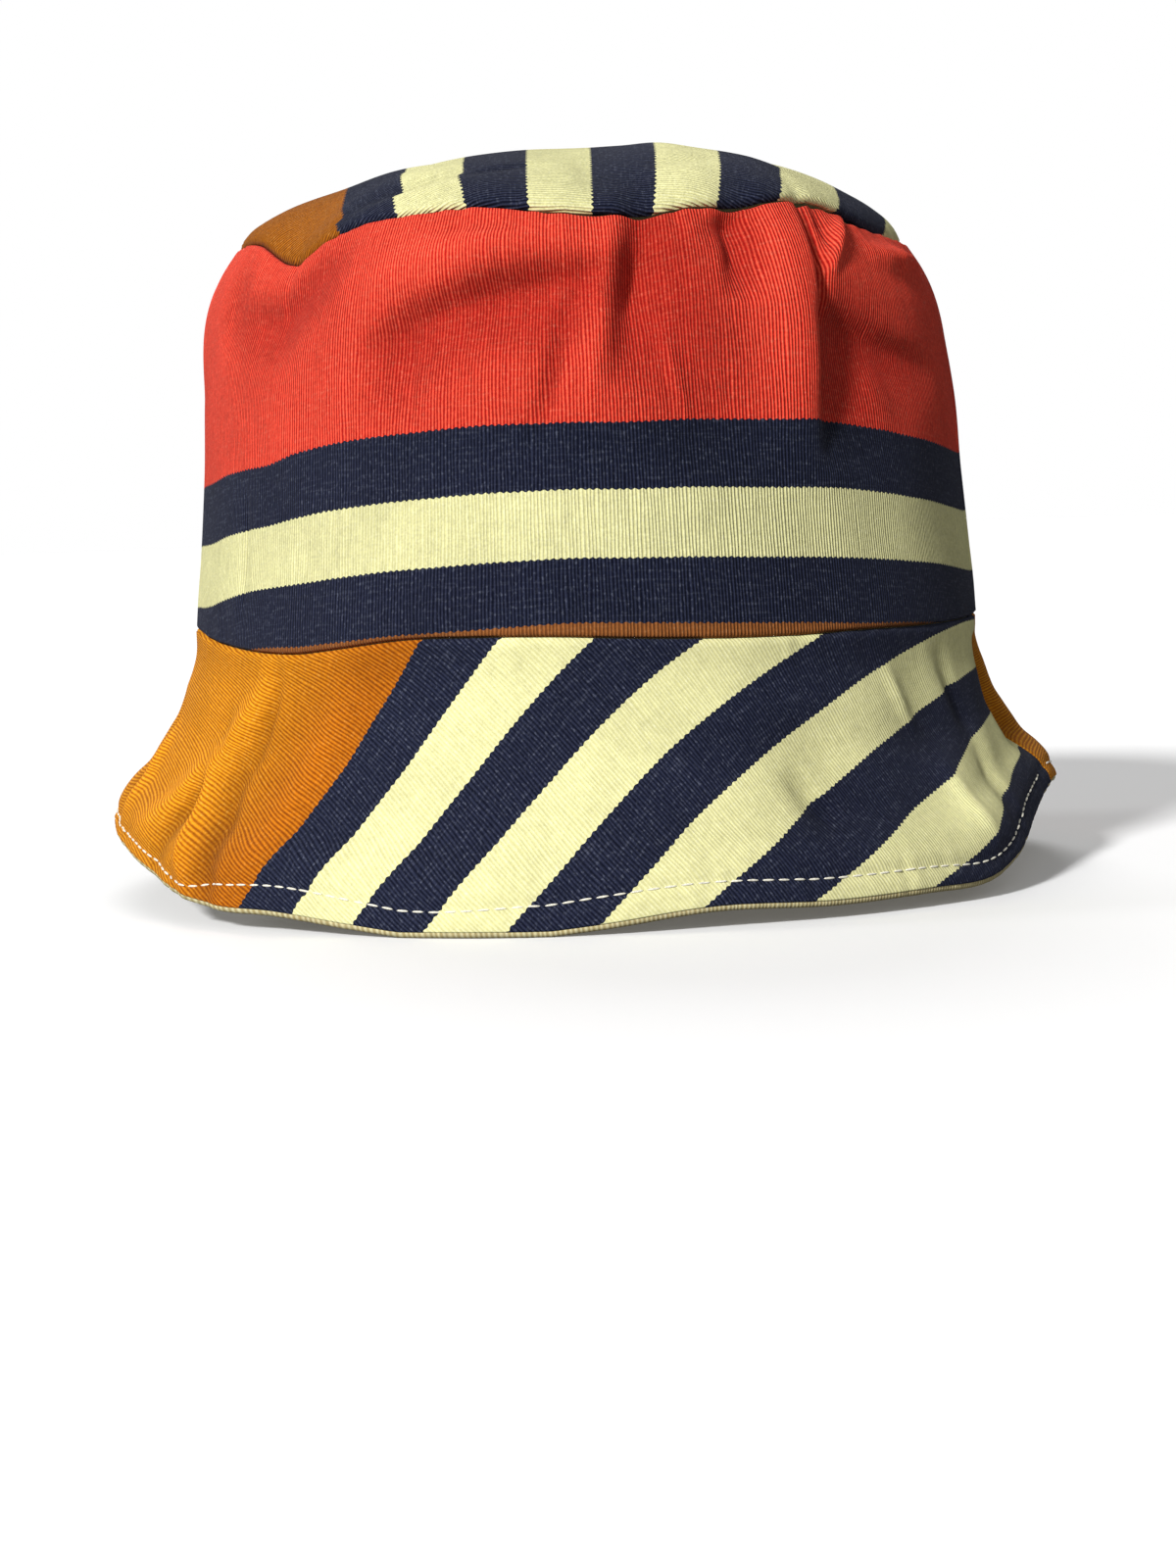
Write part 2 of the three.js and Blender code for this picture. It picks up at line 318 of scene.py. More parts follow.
@dataclass(frozen=True)
class Ripple:
    """An uneven wave, as sewn cloth puckers: the length of a pucker, its height, and a seed.

    It is made of waves whose lengths don't divide one another, so that it hardly repeats.
    """

    pitch: float
    height: float
    seed: float

    def at(self, place: Array) -> Array:
        """Reads the wave.

        Args:
            place: Places along the seam.

        Returns:
            How far the cloth is moved there.
        """
        turns = 2 * np.pi * place / self.pitch
        slow = np.sin(0.37 * turns + 2.1 * self.seed) + np.sin(0.61 * turns + 5.3 * self.seed)
        quick = np.sin(turns + 1.7 * slow + self.seed)
        quick = quick + 0.6 * np.sin(1.43 * turns + 3.9 * self.seed)
        return quick * (0.55 + 0.2 * slow) * 0.62 * self.height


def fading(distance: Array, reach: float) -> Array:
    """Returns 1 at an edge, and less and less with the distance from it."""
    return np.exp(-distance / reach)


def bell(distance: Array, reach: float) -> Array:
    """Returns 1 where the distance is 0, and less on both sides of it."""
    return np.exp(-np.square(distance / reach))


@dataclass(frozen=True)
class Fold:
    """A fold that runs between two places, each an azimuth and a part of the piece's height.

    It fades out at both ends. It falls off several times more quickly on its right side, as seen
    looking from its start to its end, where quick is over 1. A bow bends it to that side.
    """

    name: str
    start: tuple[float, float]
    end: tuple[float, float]
    reach: float
    rise: float
    quick: float = 1.0
    bow: float = 0.0
    fade: float = 1.2

    def height(self, azimuth: Array, part: Array, degree: float, whole: float) -> Array:
        """How far the fold moves the cloth.

        Args:
            azimuth: Azimuths of the places.
            part: Their parts of the piece's height, drop or reach.
            degree: Millimetres round the hat for each degree.
            whole: The piece's whole height.

        Returns:
            The height of the fold at each place.
        """
        run = (self.end[0] - self.start[0]) * degree, (self.end[1] - self.start[1]) * whole
        length = math.hypot(*run)
        x = wrapped(azimuth - self.start[0]) * degree
        y = (part - self.start[1]) * whole
        along = np.clip((x * run[0] + y * run[1]) / length**2, 0, 1)
        across = (x * run[1] - y * run[0]) / length - 4 * self.bow * along * (1 - along)
        section = np.exp(-np.square(np.where(across > 0, self.quick, 1.0) * across / self.reach))
        return self.rise * np.sin(np.pi * along) ** self.fade * section


Folds = tuple[Fold, ...]
BAND_FOLDS: Folds = (
    Fold("pull below the tip", (12.6, 1.08), (5.5, 0.56), 13.0, -4.6, quick=3.0),
    Fold("wide mouth of the pull", (10.2, 1.03), (8.3, 0.72), 6.5, -2.6, quick=1.5),
    Fold("ridge beside the pull", (7.4, 1.07), (1.0, 0.5), 3.6, 1.6),
    Fold("crease below the pull", (1.0, 0.88), (-6.5, 0.42), 2.0, -1.7),
    Fold("groove to the left", (14.0, 0.9), (-34.0, 0.66), 11.0, -5.0, quick=2.4, bow=1.5),
    Fold("swell above the groove", (4.0, 0.98), (-32.0, 0.85), 4.5, 1.5),
    Fold("tuck under the tip's edge", (-3.0, 0.965), (-22.0, 0.94), 2.0, -1.1),
    Fold("soft valley at the left", (-24.0, 0.84), (-27.0, 0.44), 8.0, -1.3),
    Fold("left shoulder", (-32.0, 0.95), (-66.0, 0.79), 10.0, -3.4, quick=2.0),
    Fold("hollow at the left", (-62.0, 0.98), (-66.0, 0.72), 6.0, -1.2),
    Fold("full shoulder at the left", (-86.0, 1.06), (-88.0, 0.62), 16.0, 1.4),
    Fold("slope past the pull", (18.5, 0.95), (16.5, 0.3), 13.0, -1.7),
    Fold("thin ridge in the middle", (12.0, 0.76), (15.4, 0.45), 1.4, 1.0),
    Fold("dimple", (25.4, 1.02), (24.0, 0.77), 7.0, -4.0, quick=2.2),
    Fold("tuck above the dimple", (31.0, 1.0), (18.5, 0.94), 3.6, -2.0, quick=1.8),
    Fold("swell before the long fold", (33.0, 1.1), (33.0, 0.3), 10.0, 2.5),
    Fold("long fold at the right", (39.2, 1.1), (37.8, 0.66), 2.1, -2.9),
    Fold("pocket past the long fold", (38.8, 0.84), (37.2, 0.36), 20.0, -4.6, quick=6.0),
    Fold("dark crease across the pocket", (67.0, 0.63), (33.0, 0.74), 8.0, -2.8, quick=2.4),
    Fold("swell at the right", (48.0, 0.74), (50.0, 0.44), 5.0, 0.9),
    Fold("pucker at the right", (38.6, 0.81), (49.0, 1.03), 1.6, 1.9),
    Fold("tuck beside the long fold", (42.0, 1.05), (40.6, 0.85), 2.0, -1.5, quick=1.6),
    Fold("outer pucker", (49.0, 0.92), (73.0, 0.93), 2.6, 2.7),
    Fold("full side at the right", (85.0, 0.75), (88.0, -0.1), 16.0, 1.1),
    Fold("crease low at the left", (-56.5, 0.44), (-56.0, 0.04), 1.6, -0.7),
    Fold("soft hollow behind", (172.0, 1.2), (168.0, 0.5), 8.0, -2.6, quick=2.0),
    Fold("ridge behind", (-168.0, 1.1), (-160.0, 0.5), 6.0, 1.6),
    Fold("groove behind", (150.0, 0.95), (124.0, 0.74), 7.0, -2.2, quick=2.0),
    Fold("left back fold", (-128.0, 1.15), (-131.0, 0.55), 5.0, -2.4, quick=1.8),
    Fold("right back fold", (112.0, 1.1), (116.0, 0.6), 5.0, -2.2, quick=1.8),
)
BRIM_FOLDS: Folds = (
    Fold("left ridge", (-45.0, -0.05), (-67.0, 0.9), 4.2, 2.3, bow=2.0),
    Fold("left valley", (-55.5, 0.24), (-58.5, 1.04), 3.4, -2.6),
    Fold("left front ridge", (-58.0, 0.34), (-47.5, 1.04), 2.4, 2.3, bow=-1.0),
    Fold("left front valley", (-52.0, 0.38), (-43.5, 1.06), 3.2, -2.6),
    Fold("tuck at the left edge", (-82.0, 0.3), (-78.5, 0.98), 3.4, -3.2),
    Fold("ridge beside the left tuck", (-76.5, 0.4), (-73.0, 0.9), 2.4, 1.9),
    Fold("swell in the ochre", (-33.0, 0.1), (-41.0, 0.9), 4.5, 1.4),
    Fold("crease in the ochre", (-46.0, -0.05), (-48.5, 0.62), 3.0, -1.7, quick=1.6),
    Fold("tuck at the side seam", (79.0, 0.08), (80.0, 0.9), 7.0, -6.2),
    Fold("dent at the right", (49.0, 0.1), (47.0, 0.55), 7.0, -1.2),
    Fold("swell at the right", (50.0, 0.45), (49.0, 0.95), 8.0, 1.2),
    Fold("small dent", (24.0, 0.48), (27.5, 0.74), 2.6, -1.4),
    Fold("wrinkle under the band", (43.5, 0.1), (47.0, 0.46), 2.2, 1.0),
    Fold("wrinkle near the edge", (48.0, 0.5), (50.0, 0.9), 2.4, 1.0),
    Fold("wrinkle at the side", (57.0, 0.06), (60.0, 0.55), 3.0, -1.4),
    Fold("wrinkle low at the side", (60.0, 0.5), (56.0, 0.95), 3.0, -1.2),
    Fold("soft dent at the front", (28.0, 0.25), (25.0, 0.8), 10.0, -1.0),
    Fold("back dent", (150.0, 0.1), (146.0, 0.7), 9.0, -1.2),
    Fold("back wrinkle", (-172.0, 0.2), (-166.0, 0.8), 3.5, 1.0),
    Fold("back swell", (-150.0, 0.3), (-154.0, 0.95), 9.0, 1.3),
    Fold("side wrinkle", (104.0, 0.1), (108.0, 0.7), 4.0, -1.3),
    Fold("left side wrinkle", (-112.0, 0.1), (-118.0, 0.75), 4.0, 1.2),
)
TIP_FOLDS: Folds = (
    Fold("pleat at the left", (-16.0, 0.84), (-46.0, 0.985), 4.5, -1.5, quick=2.0),
    Fold("small pleat at the left", (-15.0, 0.96), (-36.0, 0.975), 2.4, -0.8, quick=1.5),
    Fold("swell at the right", (15.0, 1.0), (36.0, 0.45), 22.0, 1.6),
    Fold("hollow over the pull", (6.0, 1.02), (2.0, 0.72), 5.0, -0.9),
    Fold("flat at the far left", (-52.0, 0.8), (-108.0, 0.76), 13.0, -1.5),
    Fold("swell at the far right", (58.0, 0.62), (118.0, 0.5), 15.0, 1.4),
    Fold("wrinkle across the front", (-22.0, 0.9), (-4.0, 0.8), 2.2, -0.8, quick=1.5),
    Fold("wrinkle at the right", (12.0, 0.86), (34.0, 0.8), 2.6, -0.7),
)


@dataclass
class HatForm:
    """The surfaces that the hat's cloth lies on.

    The planes are the usual heights of the two seams. The tip's edge follows the band's folds over
    a short reach, but hardly where the tuck in the band slips under it.
    """

    cloth_gap: float = 0.03
    tip_plane: float = 140.0
    brim_plane: float = 56.0
    degree: float = 1.63
    band_height: float = 85.0
    tip_height: float = 85.0
    tip_radius: float = 95.0
    brim_height: float = 62.0
    tuck_azimuth: float = 46.0
    tuck_width: float = 9.0
    tuck_share: float = 0.9
    follow_reach: float = 7.0
    round_steps: int = 2881
    part_steps: int = 201

    def __post_init__(self) -> None:
        """Reads the tables, and measures the cloth along its seam and its sections."""
        self.band_sections = SmoothTable(BAND_SECTIONS)
        self.tip_sections = SmoothTable(TIP_SECTIONS)
        self.brim_flare = SmoothTable(BRIM_FLARE)
        self.round_seams = SmoothTable(ROUND_SEAMS, TURN)
        self.brim_edge = SmoothTable(BRIM_EDGE, TURN)
        self.tip_half_width, self.tip_half_depth = BAND_SECTIONS[-1][1:3]
        self.round_places = np.linspace(-TURN, TURN, self.round_steps)
        self.round_lengths = self._lengths_round()
        self.parts = np.linspace(0, 1, self.part_steps)
        self.climb_lengths = self._lengths_up_band()
        self.reach_lengths = self._lengths_across_tip()

    def _lengths_round(self) -> Array:
        """Measures the brim's seam.

        Returns:
            The length along it from the front to each of the round places.
        """
        half_width, half_depth, _ = self.band_sections(np.array([0.0]))
        angle = np.radians(self.round_places)
        x, y = half_width * np.sin(angle), half_depth * np.cos(angle)
        steps = np.hypot(np.diff(x), np.diff(y))
        lengths = np.concatenate([[0.0], np.cumsum(steps)])
        return lengths - np.interp(0.0, self.round_places, lengths)

    def _lengths_up_band(self) -> Array:
        """Measures the band.

        Returns:
            The length up it to each of the parts.
        """
        half_depth = self.band_sections(self.parts)[1]
        rise = self.tip_plane - self.brim_plane
        steps = np.hypot(np.diff(half_depth), np.diff(self.parts) * rise)
        return np.concatenate([[0.0], np.cumsum(steps)])

    def _lengths_across_tip(self) -> Array:
        """Measures the tip.

        Returns:
            The length over it from its middle to each of the parts.
        """
        level = self.parts * (self.tip_half_width + self.tip_half_depth) / 2
        steps = np.hypot(np.diff(level), np.diff(self.tip_sections(self.parts)[0]))
        return np.concatenate([[0.0], np.cumsum(steps)])

    def length_round(self, azimuth: Array) -> Array:
        """Returns the length along the brim's seam from the front."""
        return np.interp(azimuth, self.round_places, self.round_lengths)

    def length_up(self, part: Array) -> Array:
        """Returns the length up the band from the brim's seam."""
        return np.interp(part, self.parts, self.climb_lengths)

    def length_across(self, reach: Array) -> Array:
        """Returns the length over the tip from its middle."""
        return np.interp(reach, self.parts, self.reach_lengths)

    def _fold_height(self, folds: Folds, azimuth: Array, part: Array, whole: float) -> Array:
        """Returns how far the folds move the cloth of a piece that is whole high."""
        return sum(fold.height(azimuth, part, self.degree, whole) for fold in folds)

    def band_folds(self, azimuth: Array, part: Array) -> Array:
        """Returns how far the folds move the band's cloth."""
        return self._fold_height(BAND_FOLDS, azimuth, part, self.band_height)

    def tip_folds(self, azimuth: Array, reach: Array) -> Array:
        """Returns how far the folds move the tip's cloth."""
        return self._fold_height(TIP_FOLDS, azimuth, reach, self.tip_height)

    def brim_folds(self, azimuth: Array, part: Array) -> Array:
        """Returns how far the folds move the brim's cloth."""
        return self._fold_height(BRIM_FOLDS, azimuth, part, self.brim_height)

    def _cloth_point(
        self, azimuth: Array, oval: Oval, level: Level, lean: Array, offset: Array
    ) -> Array:
        """A point of the cloth.

        Args:
            azimuth: Azimuths of the points.
            oval: The half width and half depth of the oval that they lie on.
            level: Their part of the oval's reach, how far they are swung out, and their height.
            lean: How far the cloth's outer face leans back.
            offset: How far the points are moved along the cloth's outward direction.

        Returns:
            The points, one a row.
        """
        angle, tilt = np.radians(azimuth), np.radians(lean)
        half_width, half_depth = oval
        reach, out, height = level
        across, ahead = np.sin(angle) / half_width, -np.cos(angle) / half_depth
        outward = (out + offset * np.cos(tilt)) / np.hypot(across, ahead)
        x = half_width * reach * np.sin(angle) + outward * across
        y = -half_depth * reach * np.cos(angle) + outward * ahead
        return np.stack([x, y, height + offset * np.sin(tilt)], axis=-1)

    def band(self, azimuth: Array, part: Array, offset: Array) -> Array:
        """Lays places of the band.

        Args:
            azimuth: Azimuths of the places.
            part: Their parts of the band's height.
            offset: How far they are moved out.

        Returns:
            The points, one a row.
        """
        half_width, half_depth, lean = self.band_sections(part)
        low, high = self.round_seams(wrapped(azimuth))
        level = (1.0, 0.0, low + (high - low) * part)
        moved = offset + self.band_folds(azimuth, part)
        return self._cloth_point(azimuth, (half_width, half_depth), level, lean, moved)

    def tip(self, azimuth: Array, reach: Array, offset: Array) -> Array:
        """Lays places of the tip.

        Args:
            azimuth: Azimuths of the places.
            reach: Their parts of the oval's reach.
            offset: How far they are moved out.

        Returns:
            The points, one a row.
        """
        rise, lean = self.tip_sections(reach)
        dip = (self.round_seams(wrapped(azimuth))[1] - self.tip_plane) * reach**3
        height = self.tip_plane + self.cloth_gap + dip + rise
        at_tuck = bell(wrapped(azimuth - self.tuck_azimuth), self.tuck_width)
        from_edge = (1 - reach) * self.tip_radius
        follow = (1 - self.tuck_share * at_tuck) * fading(from_edge, self.follow_reach)
        pulled = follow * self.band_folds(azimuth, np.ones_like(reach))
        moved = offset + pulled + self.tip_folds(azimuth, reach)
        oval = (self.tip_half_width, self.tip_half_depth)
        return self._cloth_point(azimuth, oval, (reach, 0.0, height), lean, moved)

    def brim(self, azimuth: Array, part: Array, offset: Array) -> Array:
        """Lays places of the brim.

        Args:
            azimuth: Azimuths of the places.
            part: Their parts of the brim's drop.
            offset: How far they are moved out.

        Returns:
            The points, one a row.
        """
        swing, foot = self.brim_edge(wrapped(azimuth))
        share, lean = self.brim_flare(part)
        seam = self.round_seams(wrapped(azimuth))[0] - self.cloth_gap
        height = seam + (np.maximum(foot, 0.0) - seam) * part
        out = swing * share + self.brim_folds(azimuth, part)
        oval = BAND_SECTIONS[0][1:3]
        return self._cloth_point(azimuth, oval, (1.0, out, height), lean, offset)

    def drop(self, azimuth: Array) -> Array:
        """Returns the height from the brim's seam down to its edge."""
        foot = np.maximum(self.brim_edge(wrapped(azimuth))[1], 0.0)
        return self.round_seams(wrapped(azimuth))[0] - self.cloth_gap - foot


FORM = HatForm()


class Value:
    """A number that varies over a surface. Python's operators on it add Math nodes."""

    def __init__(self, graph: "Graph", socket: bpy.types.NodeSocket) -> None:
        """Wraps an output socket of a node tree."""
        self.graph = graph
        self.socket = socket

    def math(self, operation: str, *others: "Value | float") -> "Value":
        """Adds a Math node.

        Args:
            operation: What the node does.
            others: What it does it with, after this value.

        Returns:
            Its result.
        """
        feeds = dict(enumerate((self, *others)))
        node = self.graph.node("ShaderNodeMath", {"operation": operation}, feeds)
        return Value(self.graph, node.outputs[0])

    def __add__(self, other: "Value | float") -> "Value":
        """Adds."""
        return self.math("ADD", other)

    __radd__ = __add__

    def __mul__(self, other: "Value | float") -> "Value":
        """Multiplies."""
        return self.math("MULTIPLY", other)

    __rmul__ = __mul__

    def __sub__(self, other: "Value | float") -> "Value":
        """Subtracts the other."""
        return self.math("SUBTRACT", other)

    def __rsub__(self, other: float) -> "Value":
        """Subtracts this from the other."""
        return self * -1.0 + other

    def __truediv__(self, other: "Value | float") -> "Value":
        """Divides by the other."""
        return self.math("DIVIDE", other)

    def wave(self, pitch: float) -> "Value":
        """Returns a wave between 0 and 1 with its crests one pitch apart."""
        return (self * (2 * math.pi / pitch)).math("COSINE") * 0.5 + 0.5

    def ramp(self, low: float, high: float) -> "Value":
        """Adds a soft climb.

        Args:
            low: Where it starts.
            high: Where it ends.

        Returns:
            0 below low, 1 above high, and the climb between them.
        """
        settings = {"interpolation_type": "SMOOTHSTEP"}
        node = self.graph.node("ShaderNodeMapRange", settings, {0: self, 1: low, 2: high})
        return Value(self.graph, node.outputs[0])


class Graph:
    """The node tree of a finish, and the few ways in which nodes are added to it."""

    MIX_INPUTS = (0, 6, 7)
    MIX_RESULT = 2

    def __init__(self, tree: bpy.types.NodeTree) -> None:
        """Empties the tree."""
        self.tree = tree
        self.tree.nodes.clear()

    def node(self, kind: str, settings: dict[str, Setting], feeds: dict) -> bpy.types.Node:
        """Adds a node.

        Args:
            kind: The node's type.
            settings: Its own settings, which are set first.
            feeds: A value, a Value or an output socket for each of its named or numbered inputs.

        Returns:
            The node.
        """
        node = self.tree.nodes.new(kind)
        for name, setting in settings.items():
            setattr(node, name, setting)
        for key, feed in feeds.items():
            if isinstance(feed, Value):
                feed = feed.socket
            if isinstance(feed, tuple) and node.inputs[key].type == "RGBA":
                feed = (*feed[:3], 1.0)
            if isinstance(feed, bpy.types.NodeSocket):
                self.tree.links.new(feed, node.inputs[key])
            else:
                node.inputs[key].default_value = feed
        return node

    def value(self, node: bpy.types.Node, output: str | int = 0) -> Value:
        """Returns a node's output as a Value."""
        return Value(self, node.outputs[output])

    def noise(self, place: bpy.types.NodeSocket, scale: float, detail: float = 2.0) -> Value:
        """Returns a cloudy noise between 0 and 1."""
        feeds = {"Vector": place, "Scale": scale, "Detail": detail}
        return self.value(self.node("ShaderNodeTexNoise", {}, feeds))

    def place(self, *axes: Value | float) -> bpy.types.NodeSocket:
        """Returns a vector of three values."""
        return self.node("ShaderNodeCombineXYZ", {}, dict(enumerate(axes))).outputs[0]

    def mix(self, factor: Value | float, first: object, second: object) -> bpy.types.NodeSocket:
        """Mixes two colours.

        Args:
            factor: 0 gives the first of them, and 1 the second.
            first: A colour, or the output of a node.
            second: The other.

        Returns:
            The mixed colour.
        """
        feeds = dict(zip(self.MIX_INPUTS, (factor, first, second)))
        node = self.node("ShaderNodeMix", {"data_type": "RGBA"}, feeds)
        return node.outputs[self.MIX_RESULT]

    def shade(self, colour: bpy.types.NodeSocket, strength: Value) -> bpy.types.NodeSocket:
        """Returns a colour made lighter or darker."""
        node = self.node("ShaderNodeVectorMath", {"operation": "SCALE"}, {0: colour, "Scale": strength})
        return node.outputs[0]


def daylight(red: float, green: float, blue: float) -> Colour:
    """Returns the linear colour of 8-bit display values."""
    shares = (part / 255 for part in (red, green, blue))
    return tuple(s / 12.92 if s <= 0.04045 else ((s + 0.055) / 1.055) ** 2.4 for s in shares)


class Yarn(Enum):
    """The dyed yarns: a rib's crest, the painted shade between ribs, and a stray light fibre."""

    # Each hollow colour is a darker copy of its crest colour: painted shade between the ribs.
    CREAM = (daylight(218, 215, 164), daylight(200, 196, 138), daylight(234, 232, 200))
    NAVY = (daylight(39, 43, 62), daylight(10, 13, 28), daylight(112, 117, 134))
    CORAL = (daylight(240, 86, 62), daylight(162, 20, 17), daylight(242, 134, 106))
    OCHRE = (daylight(216, 144, 26), daylight(146, 78, 6), daylight(230, 178, 80))
    AMBER = (daylight(184, 106, 16), daylight(120, 56, 5), daylight(206, 142, 62))
    BRONZE = (daylight(170, 100, 18), daylight(110, 56, 6), daylight(200, 144, 74))
    # The ochre of the band's stripe at its turned-in foot, darkened as painted shade.
    SHADED_OCHRE = (daylight(146, 90, 46), daylight(106, 60, 28), daylight(176, 130, 90))
    KHAKI = (daylight(206, 197, 154), daylight(160, 144, 98), daylight(224, 218, 190))

    @property
    def crest(self) -> Colour:
        """The colour on a rib's crest, the lit copy of the yarn's colour."""
        return self.value[0]

    @property
    def hollow(self) -> Colour:
        """The colour between two ribs, a darker copy that is painted shade."""
        return self.value[1]

    @property
    def fibre(self) -> Colour:
        """The colour of stray fibres."""
        return self.value[2]


class Grain(Enum):
    """An unevenness of the cloth: how often it varies along and across the stripes, seed, detail."""

    WAVER = (0.12, 0.05, 3.0, 2.0)
    JITTER = (0.45, 0.06, 41.0, 1.0)
    BEADS = (1.3, 0.9, 7.0, 2.0)
    SLUB = (1.3, 0.11, 1.0, 2.0)
    CLOUD = (0.06, 0.06, 5.0, 3.0)
    NAP = (0.5, 0.5, 23.0, 3.0)
    PICKS = (0.16, 1.7, 11.0, 3.0)
    SPECKS = (1.4, 1.1, 17.0, 3.0)
    SPOTS = (1.9, 1.9, 31.0, 2.0)

    def drawn(self, graph: Graph, along: Value, across: Value) -> Value:
        """Adds the unevenness.

        Args:
            graph: The node tree.
            along: Millimetres along the stripes.
            across: Millimetres across them.

        Returns:
            A value between 0 and 1.
        """
        often_along, often_across, seed, detail = self.value
        place = graph.place(along * often_along, across * often_across, seed)
        return graph.noise(place, 1.0, detail)


@dataclass(frozen=True)
class RibbedCloth:
    """Ribbed cotton with woven stripes. Its ribs run across the stripes.

    The sizes are in millimetres. The painted rib shades say how much of the crest's colour each
    relief brings: the darker hollow colour paints the shade between ribs, and the contrast scales it.
    The tints are the shares in which each unevenness makes the cloth lighter, and the strays are those
    of the light fibres, in rows and alone, and on the crests and in the hollows. The ranges are those
    of the folds, over which painted shade darkens the fold hollows and painted light brightens the
    fold crests, and of the fibres' noise, over which the colour changes.
    """

    name: str
    stripes: tuple[tuple[float, Yarn], ...]
    last: Yarn
    deepening: tuple[float, float, Yarn, Yarn] | None = None
    # Painted light on fold crests and painted shade in fold hollows.
    painted_fold_light: float = 0.26
    grain: float = 0.35
    contrast: float = 1.0
    tooth: float = 0.3
    relief: float = 0.2
    rib_pitch: float = 0.76
    rib_waver: float = 0.8
    rib_jitter: float = 0.7
    fray: float = 0.25
    # Painted shade between ribs: how much the ribs' and beads' relief mixes in the darker hollow colour.
    rib_painted_shade: float = 0.9
    bead_painted_shade: float = 0.7
    crest_share: float = 0.48
    # Painted shade in the folds' hollows: over these fold heights the colour moves towards the darker
    # hollow colour.
    painted_shade_folds: tuple[float, float] = (-3.6, 1.0)
    painted_shade_deepest: float = 0.56
    painted_shade_lift: float = 0.5
    # The fold heights over which that painted light and shade change, and their middle.
    painted_light_folds: tuple[float, float] = (-2.0, 1.8)
    painted_light_middle: float = 0.54
    slub_tint: float = 0.25
    cloud_tint: float = 0.35
    nap_tint: float = 0.35
    row_strays: float = 0.28
    lone_strays: float = 0.62
    row_range: tuple[float, float] = (0.52, 0.72)
    lone_range: tuple[float, float] = (0.53, 0.73)
    crest_strays: float = 0.5
    hollow_strays: float = 0.1
    rib_height: float = 0.8
    bead_height: float = 0.5
    slub_height: float = 0.3
    middle_tint: float = 0.525

    def _shares(self, across: Value) -> dict[Yarn, Value]:
        """Works out the stripes. A yarn that deepens has its deeper one last, which lies over it.

        Args:
            across: Millimetres across the stripes.

        Returns:
            How much of each place is dyed with each yarn, the cloth's last one left out.
        """
        shares: dict[Yarn, Value] = {}
        inside: Value | None = None
        for end, yarn in self.stripes:
            below = across.math("LESS_THAN", end)
            share = below if inside is None else below - inside
            shares[yarn] = share + shares.get(yarn, 0.0)
            inside = below
        shares.pop(self.last, None)
        if self.deepening:
            start, end, yarn, deeper = self.deepening
            shares[deeper] = shares[yarn] * across.ramp(start, end)
        return shares

    def _dyed(self, graph: Graph, shares: dict[Yarn, Value], part: str) -> object:
        """Dyes one part of the yarns.

        Args:
            graph: The node tree.
            shares: How much of each place is dyed with each yarn.
            part: The part's name.

        Returns:
            Its colour, as striped as the cloth.
        """
        colour: object = getattr(self.last, part)
        for yarn, share in shares.items():
            colour = graph.mix(share, colour, getattr(yarn, part))
        return colour

    def material(self) -> bpy.types.Material:
        """Builds the material. It reads the cloth's own map: along and across the stripes.

        Returns:
            The material.
        """
        made = bpy.data.materials.new(self.name)
        made.use_nodes = True
        graph = Graph(made.node_tree)
        flat = graph.node("ShaderNodeUVMap", {"uv_map": CLOTH_MAP}, {})
        split = graph.node("ShaderNodeSeparateXYZ", {}, {0: flat.outputs[0]})
        along, across = graph.value(split, 0) * (1 / MM), graph.value(split, 1) * (1 / MM)
        uneven = {grain: grain.drawn(graph, along, across) for grain in Grain}
        beads, slub = uneven[Grain.BEADS], uneven[Grain.SLUB]
        rib_place = along + uneven[Grain.WAVER] * self.rib_waver + uneven[Grain.JITTER] * self.rib_jitter
        rib = rib_place.wave(self.rib_pitch)
        tooth = (rib_place.wave(2 * self.rib_pitch) - 0.5) * self.tooth
        shares = self._shares(across + tooth + (beads - 0.5) * self.fray)
        crest, hollow, fibre = (
            self._dyed(graph, shares, part) for part in ("crest", "hollow", "fibre")
        )
        attribute = graph.node("ShaderNodeAttribute", {"attribute_name": FOLD_ATTRIBUTE}, {})
        folds = graph.value(attribute, "Fac")
        # Painted shade: deep in the folds' hollows the colour moves towards the darker hollow colour.
        painted_fold_shade = folds.ramp(*self.painted_shade_folds) * self.painted_shade_lift + self.painted_shade_deepest
        # Painted shade between ribs: the relief mixes the lit crest colour with the darker hollow
        # colour.
        raised = rib * self.rib_painted_shade + beads * self.bead_painted_shade - (self.rib_painted_shade + self.bead_painted_shade) / 2
        crested = (raised * self.contrast + self.crest_share) * painted_fold_shade
        weave = graph.mix(crested, hollow, crest)
        in_rows = uneven[Grain.PICKS].ramp(*self.row_range) * self.row_strays
        alone = uneven[Grain.SPECKS].ramp(*self.lone_range) * self.lone_strays
        caught = rib * self.crest_strays + self.hollow_strays
        worn = graph.mix((in_rows + alone) * caught, weave, fibre)
        tint = self._tint(uneven, folds)
        height = rib * self.rib_height + beads * self.bead_height + slub * self.slub_height
        bump = graph.node(
            "ShaderNodeBump", {}, {"Strength": 0.9, "Distance": self.relief * MM, "Height": height}
        )
        shader = graph.node(
            "ShaderNodeBsdfPrincipled",
            {},
            {
                "Base Color": graph.shade(worn, tint),
                "Roughness": 0.9,
                "Specular IOR Level": 0.06,
                "Sheen Weight": 0.02,
                "Sheen Roughness": 0.5,
                "Normal": bump.outputs[0],
            },
        )
        graph.node("ShaderNodeOutputMaterial", {}, {0: shader.outputs[0]})
        return made

